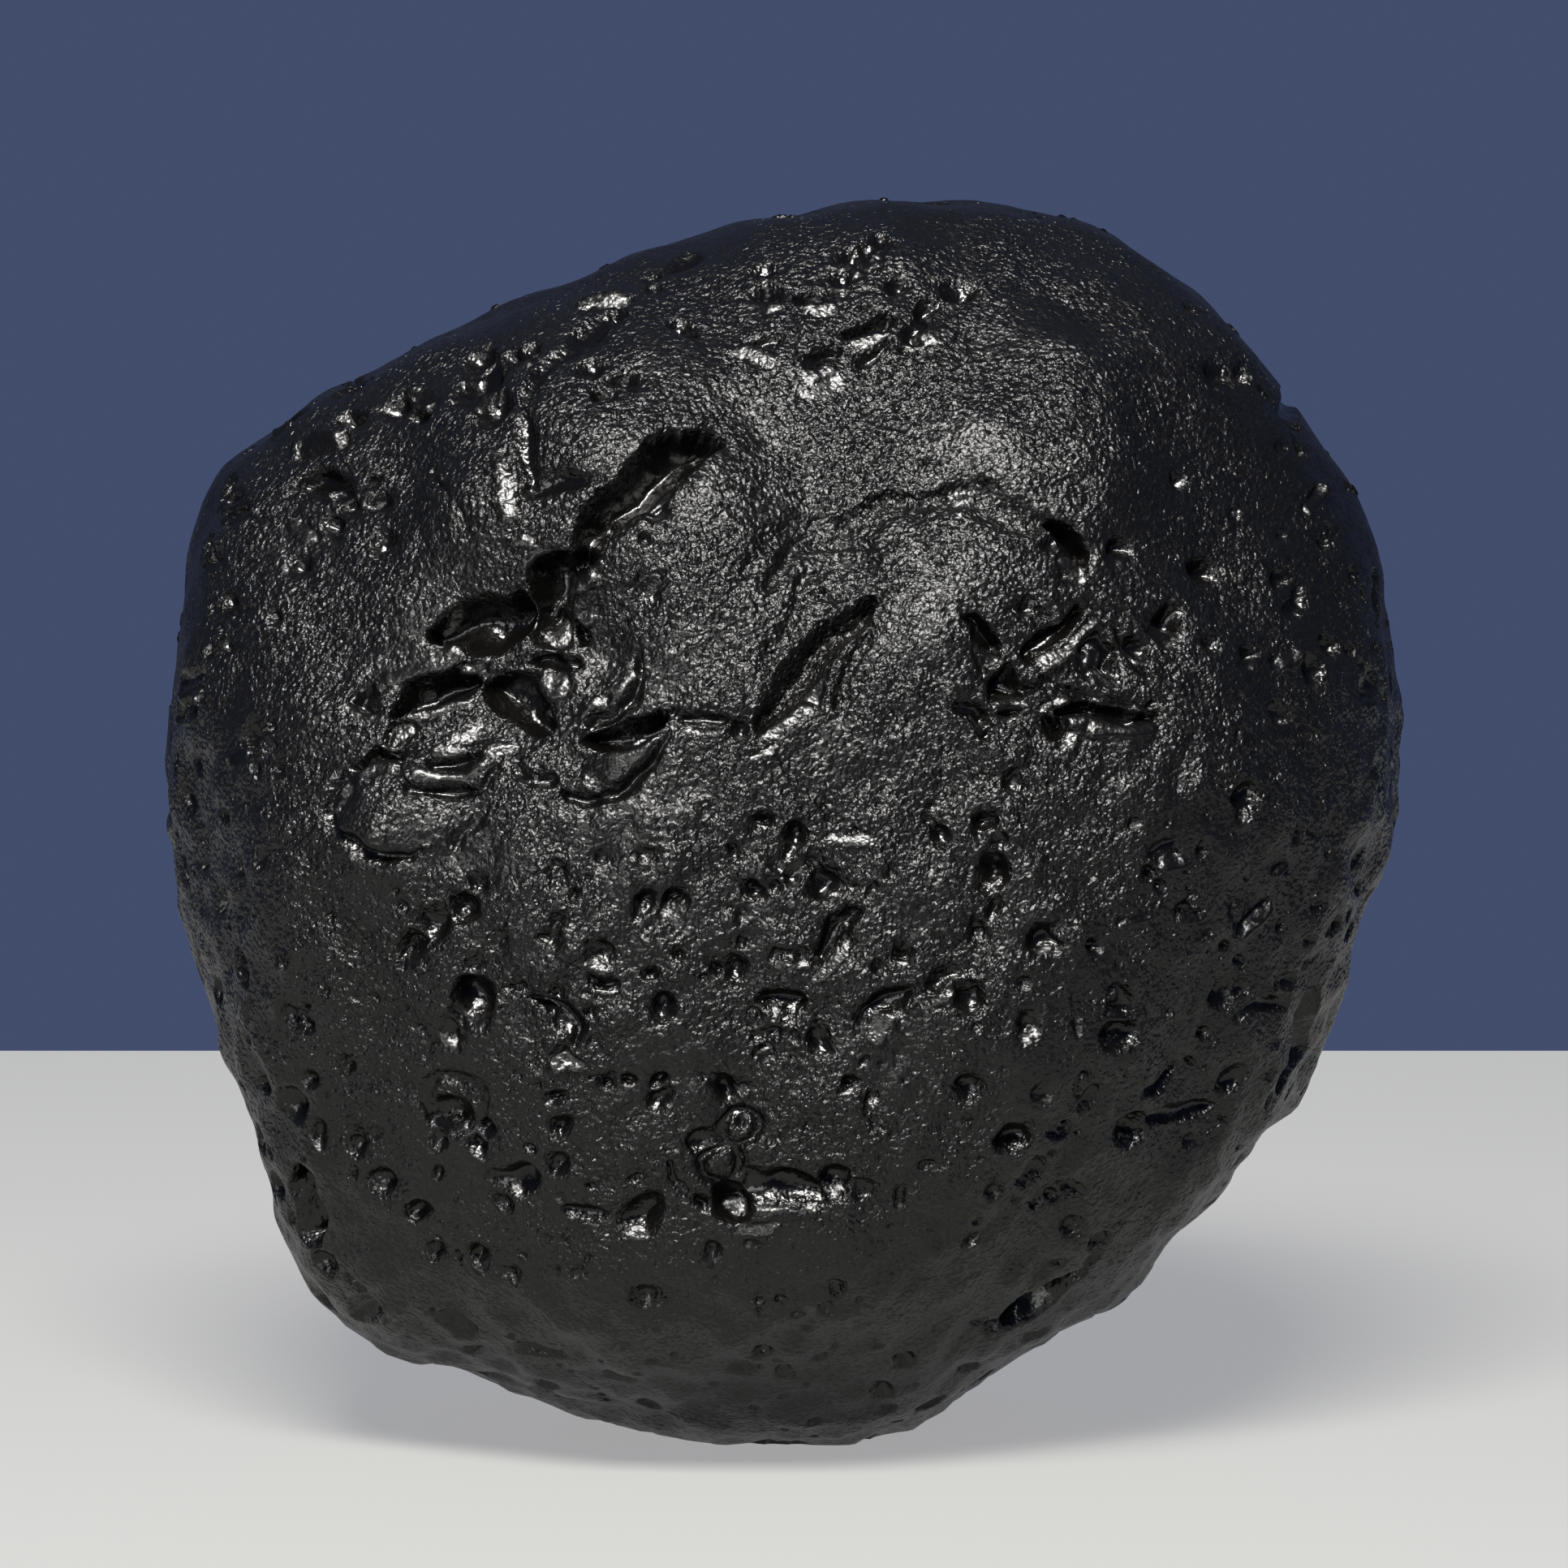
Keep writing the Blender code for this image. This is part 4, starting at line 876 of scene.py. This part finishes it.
def maths(tree, operation, *values, kind=""):
    """One output worked out from numbers, vectors and outputs."""
    made = tree.nodes.new(f"ShaderNode{kind}Math")
    made.operation = operation
    for socket, value in zip(made.inputs, values):
        if isinstance(value, bpy.types.NodeSocket):
            tree.links.new(value, socket)
        else:
            socket.default_value = value
    return made.outputs[0]


def texture(tree, kind, place, **values):
    """A texture node at a place, with its inputs set by name."""
    made = tree.nodes.new(kind)
    set_inputs(made, **values)
    tree.links.new(place, made.inputs["Vector"])
    return made


def bump(tree, height, distance, strength, below):
    """A bump on the normal, over the bump below it."""
    made = tree.nodes.new("ShaderNodeBump")
    set_inputs(made, Distance=distance)
    for name, source in (("Height", height), ("Strength", strength), ("Normal", below)):
        tree.links.new(source, made.inputs[name])
    return made.outputs[0]


def graininess(tree, place, polish):
    """How strong the grain is: patchy, and weaker at the foot, at the right, on glints, in hollows."""
    sides = tree.nodes.new("ShaderNodeSeparateXYZ")
    tree.links.new(place, sides.inputs[0])
    patches = texture(tree, "ShaderNodeTexNoise", place, Scale=PATCH_SCALE, Detail=2.0)
    grainy = ramp(tree, sides.outputs["Z"], *GRAIN_BY_HEIGHT)
    for source, limits in (
        (sides.outputs["X"], GRAIN_BY_SIDE),
        (patches.outputs[0], GRAIN_BY_PATCH),
        (polish, GRAIN_ON_GLINTS),
        (polish, GRAIN_IN_HOLLOWS),
    ):
        grainy = maths(tree, "MULTIPLY", grainy, ramp(tree, source, *limits))
    return grainy


def speckled(tree, place, grainy):
    """The skin's normal, tilted its own way in each of many tiny grains."""
    grains = texture(tree, "ShaderNodeTexVoronoi", place, Scale=GRAIN_SCALE)
    normal = tree.nodes.new("ShaderNodeNewGeometry").outputs["Normal"]
    tilt = maths(tree, "MULTIPLY", grainy, GRAIN_TILT)
    centred = maths(tree, "SUBTRACT", grains.outputs["Color"], (0.5, 0.5, 0.5), kind="Vector")
    leaning = maths(tree, "MULTIPLY", centred, tilt, kind="Vector")
    tilted = maths(tree, "ADD", leaning, normal, kind="Vector")
    return maths(tree, "NORMALIZE", tilted, kind="Vector")


def pebbled(tree, place):
    """The height of a field of small round pebbles, no two alike."""
    stir = texture(tree, "ShaderNodeTexNoise", place, Scale=STIR_SCALE, Detail=1.0)
    moved = tree.nodes.new("ShaderNodeMixRGB")
    moved.blend_type = "LINEAR_LIGHT"
    set_inputs(moved, Fac=STIR_REACH)
    tree.links.new(place, moved.inputs["Color1"])
    tree.links.new(stir.outputs["Color"], moved.inputs["Color2"])
    pebbles = texture(tree, "ShaderNodeTexVoronoi", moved.outputs[0], Scale=PEBBLE_SCALE)
    return maths(tree, "MULTIPLY", maths(tree, "POWER", pebbles.outputs["Distance"], 2.0), -1.0)


def black_glass():
    """Near-black natural glass: a satin, grainy skin, smooth and glossy in the hollows and on glints."""
    material = bpy.data.materials.new(SLOT)
    material.use_nodes = True
    tree = material.node_tree
    shader = tree.nodes["Principled BSDF"]
    set_inputs(shader, Base_Color=(0.0012, 0.0011, 0.001, 1.0), IOR=1.5, Specular_IOR_Level=0.27)
    place = tree.nodes.new("ShaderNodeTexCoord").outputs["Object"]
    attribute = tree.nodes.new("ShaderNodeAttribute")
    attribute.attribute_name = "polish"
    polish = attribute.outputs["Fac"]
    grainy = graininess(tree, place, polish)

    lumps = texture(tree, "ShaderNodeTexNoise", place, Scale=LUMP_SCALE, Detail=1.0, Roughness=0.5)
    fine = texture(tree, "ShaderNodeTexNoise", place, Scale=FINE_SCALE, Detail=1.0)
    normal = bump(tree, lumps.outputs[0], LUMP_HEIGHT, grainy, speckled(tree, place, grainy))
    normal = bump(tree, pebbled(tree, place), PEBBLE_HEIGHT, grainy, normal)
    normal = bump(tree, fine.outputs[0], FINE_HEIGHT, grainy, normal)
    tree.links.new(normal, shader.inputs["Normal"])

    smoother = ramp(tree, polish, *SMOOTHER_ON_GLINTS)
    roughness = maths(tree, "SUBTRACT", ramp(tree, polish, *ROUGHNESS), smoother)
    tree.links.new(roughness, shader.inputs["Roughness"])
    return material


def add_stone():
    """The finished stone in place of its solid, and how far it was moved to stand there."""
    stone = make_ball()
    shape_stone(stone)
    thin_out(stone)
    shift = seat(stone)
    stone.data.materials.clear()
    stone.data.materials.append(black_glass())
    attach(stone, "root")
    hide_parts(NODE)
    return shift


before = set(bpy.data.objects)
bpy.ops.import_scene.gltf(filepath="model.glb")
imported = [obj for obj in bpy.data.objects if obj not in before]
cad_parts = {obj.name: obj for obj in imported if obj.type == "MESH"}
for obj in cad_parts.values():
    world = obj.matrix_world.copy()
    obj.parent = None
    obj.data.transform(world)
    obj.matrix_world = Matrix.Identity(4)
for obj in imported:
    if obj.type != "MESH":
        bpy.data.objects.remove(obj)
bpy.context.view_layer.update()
shift = add_stone()
add_camera(shift)
add_floor()
add_studio()
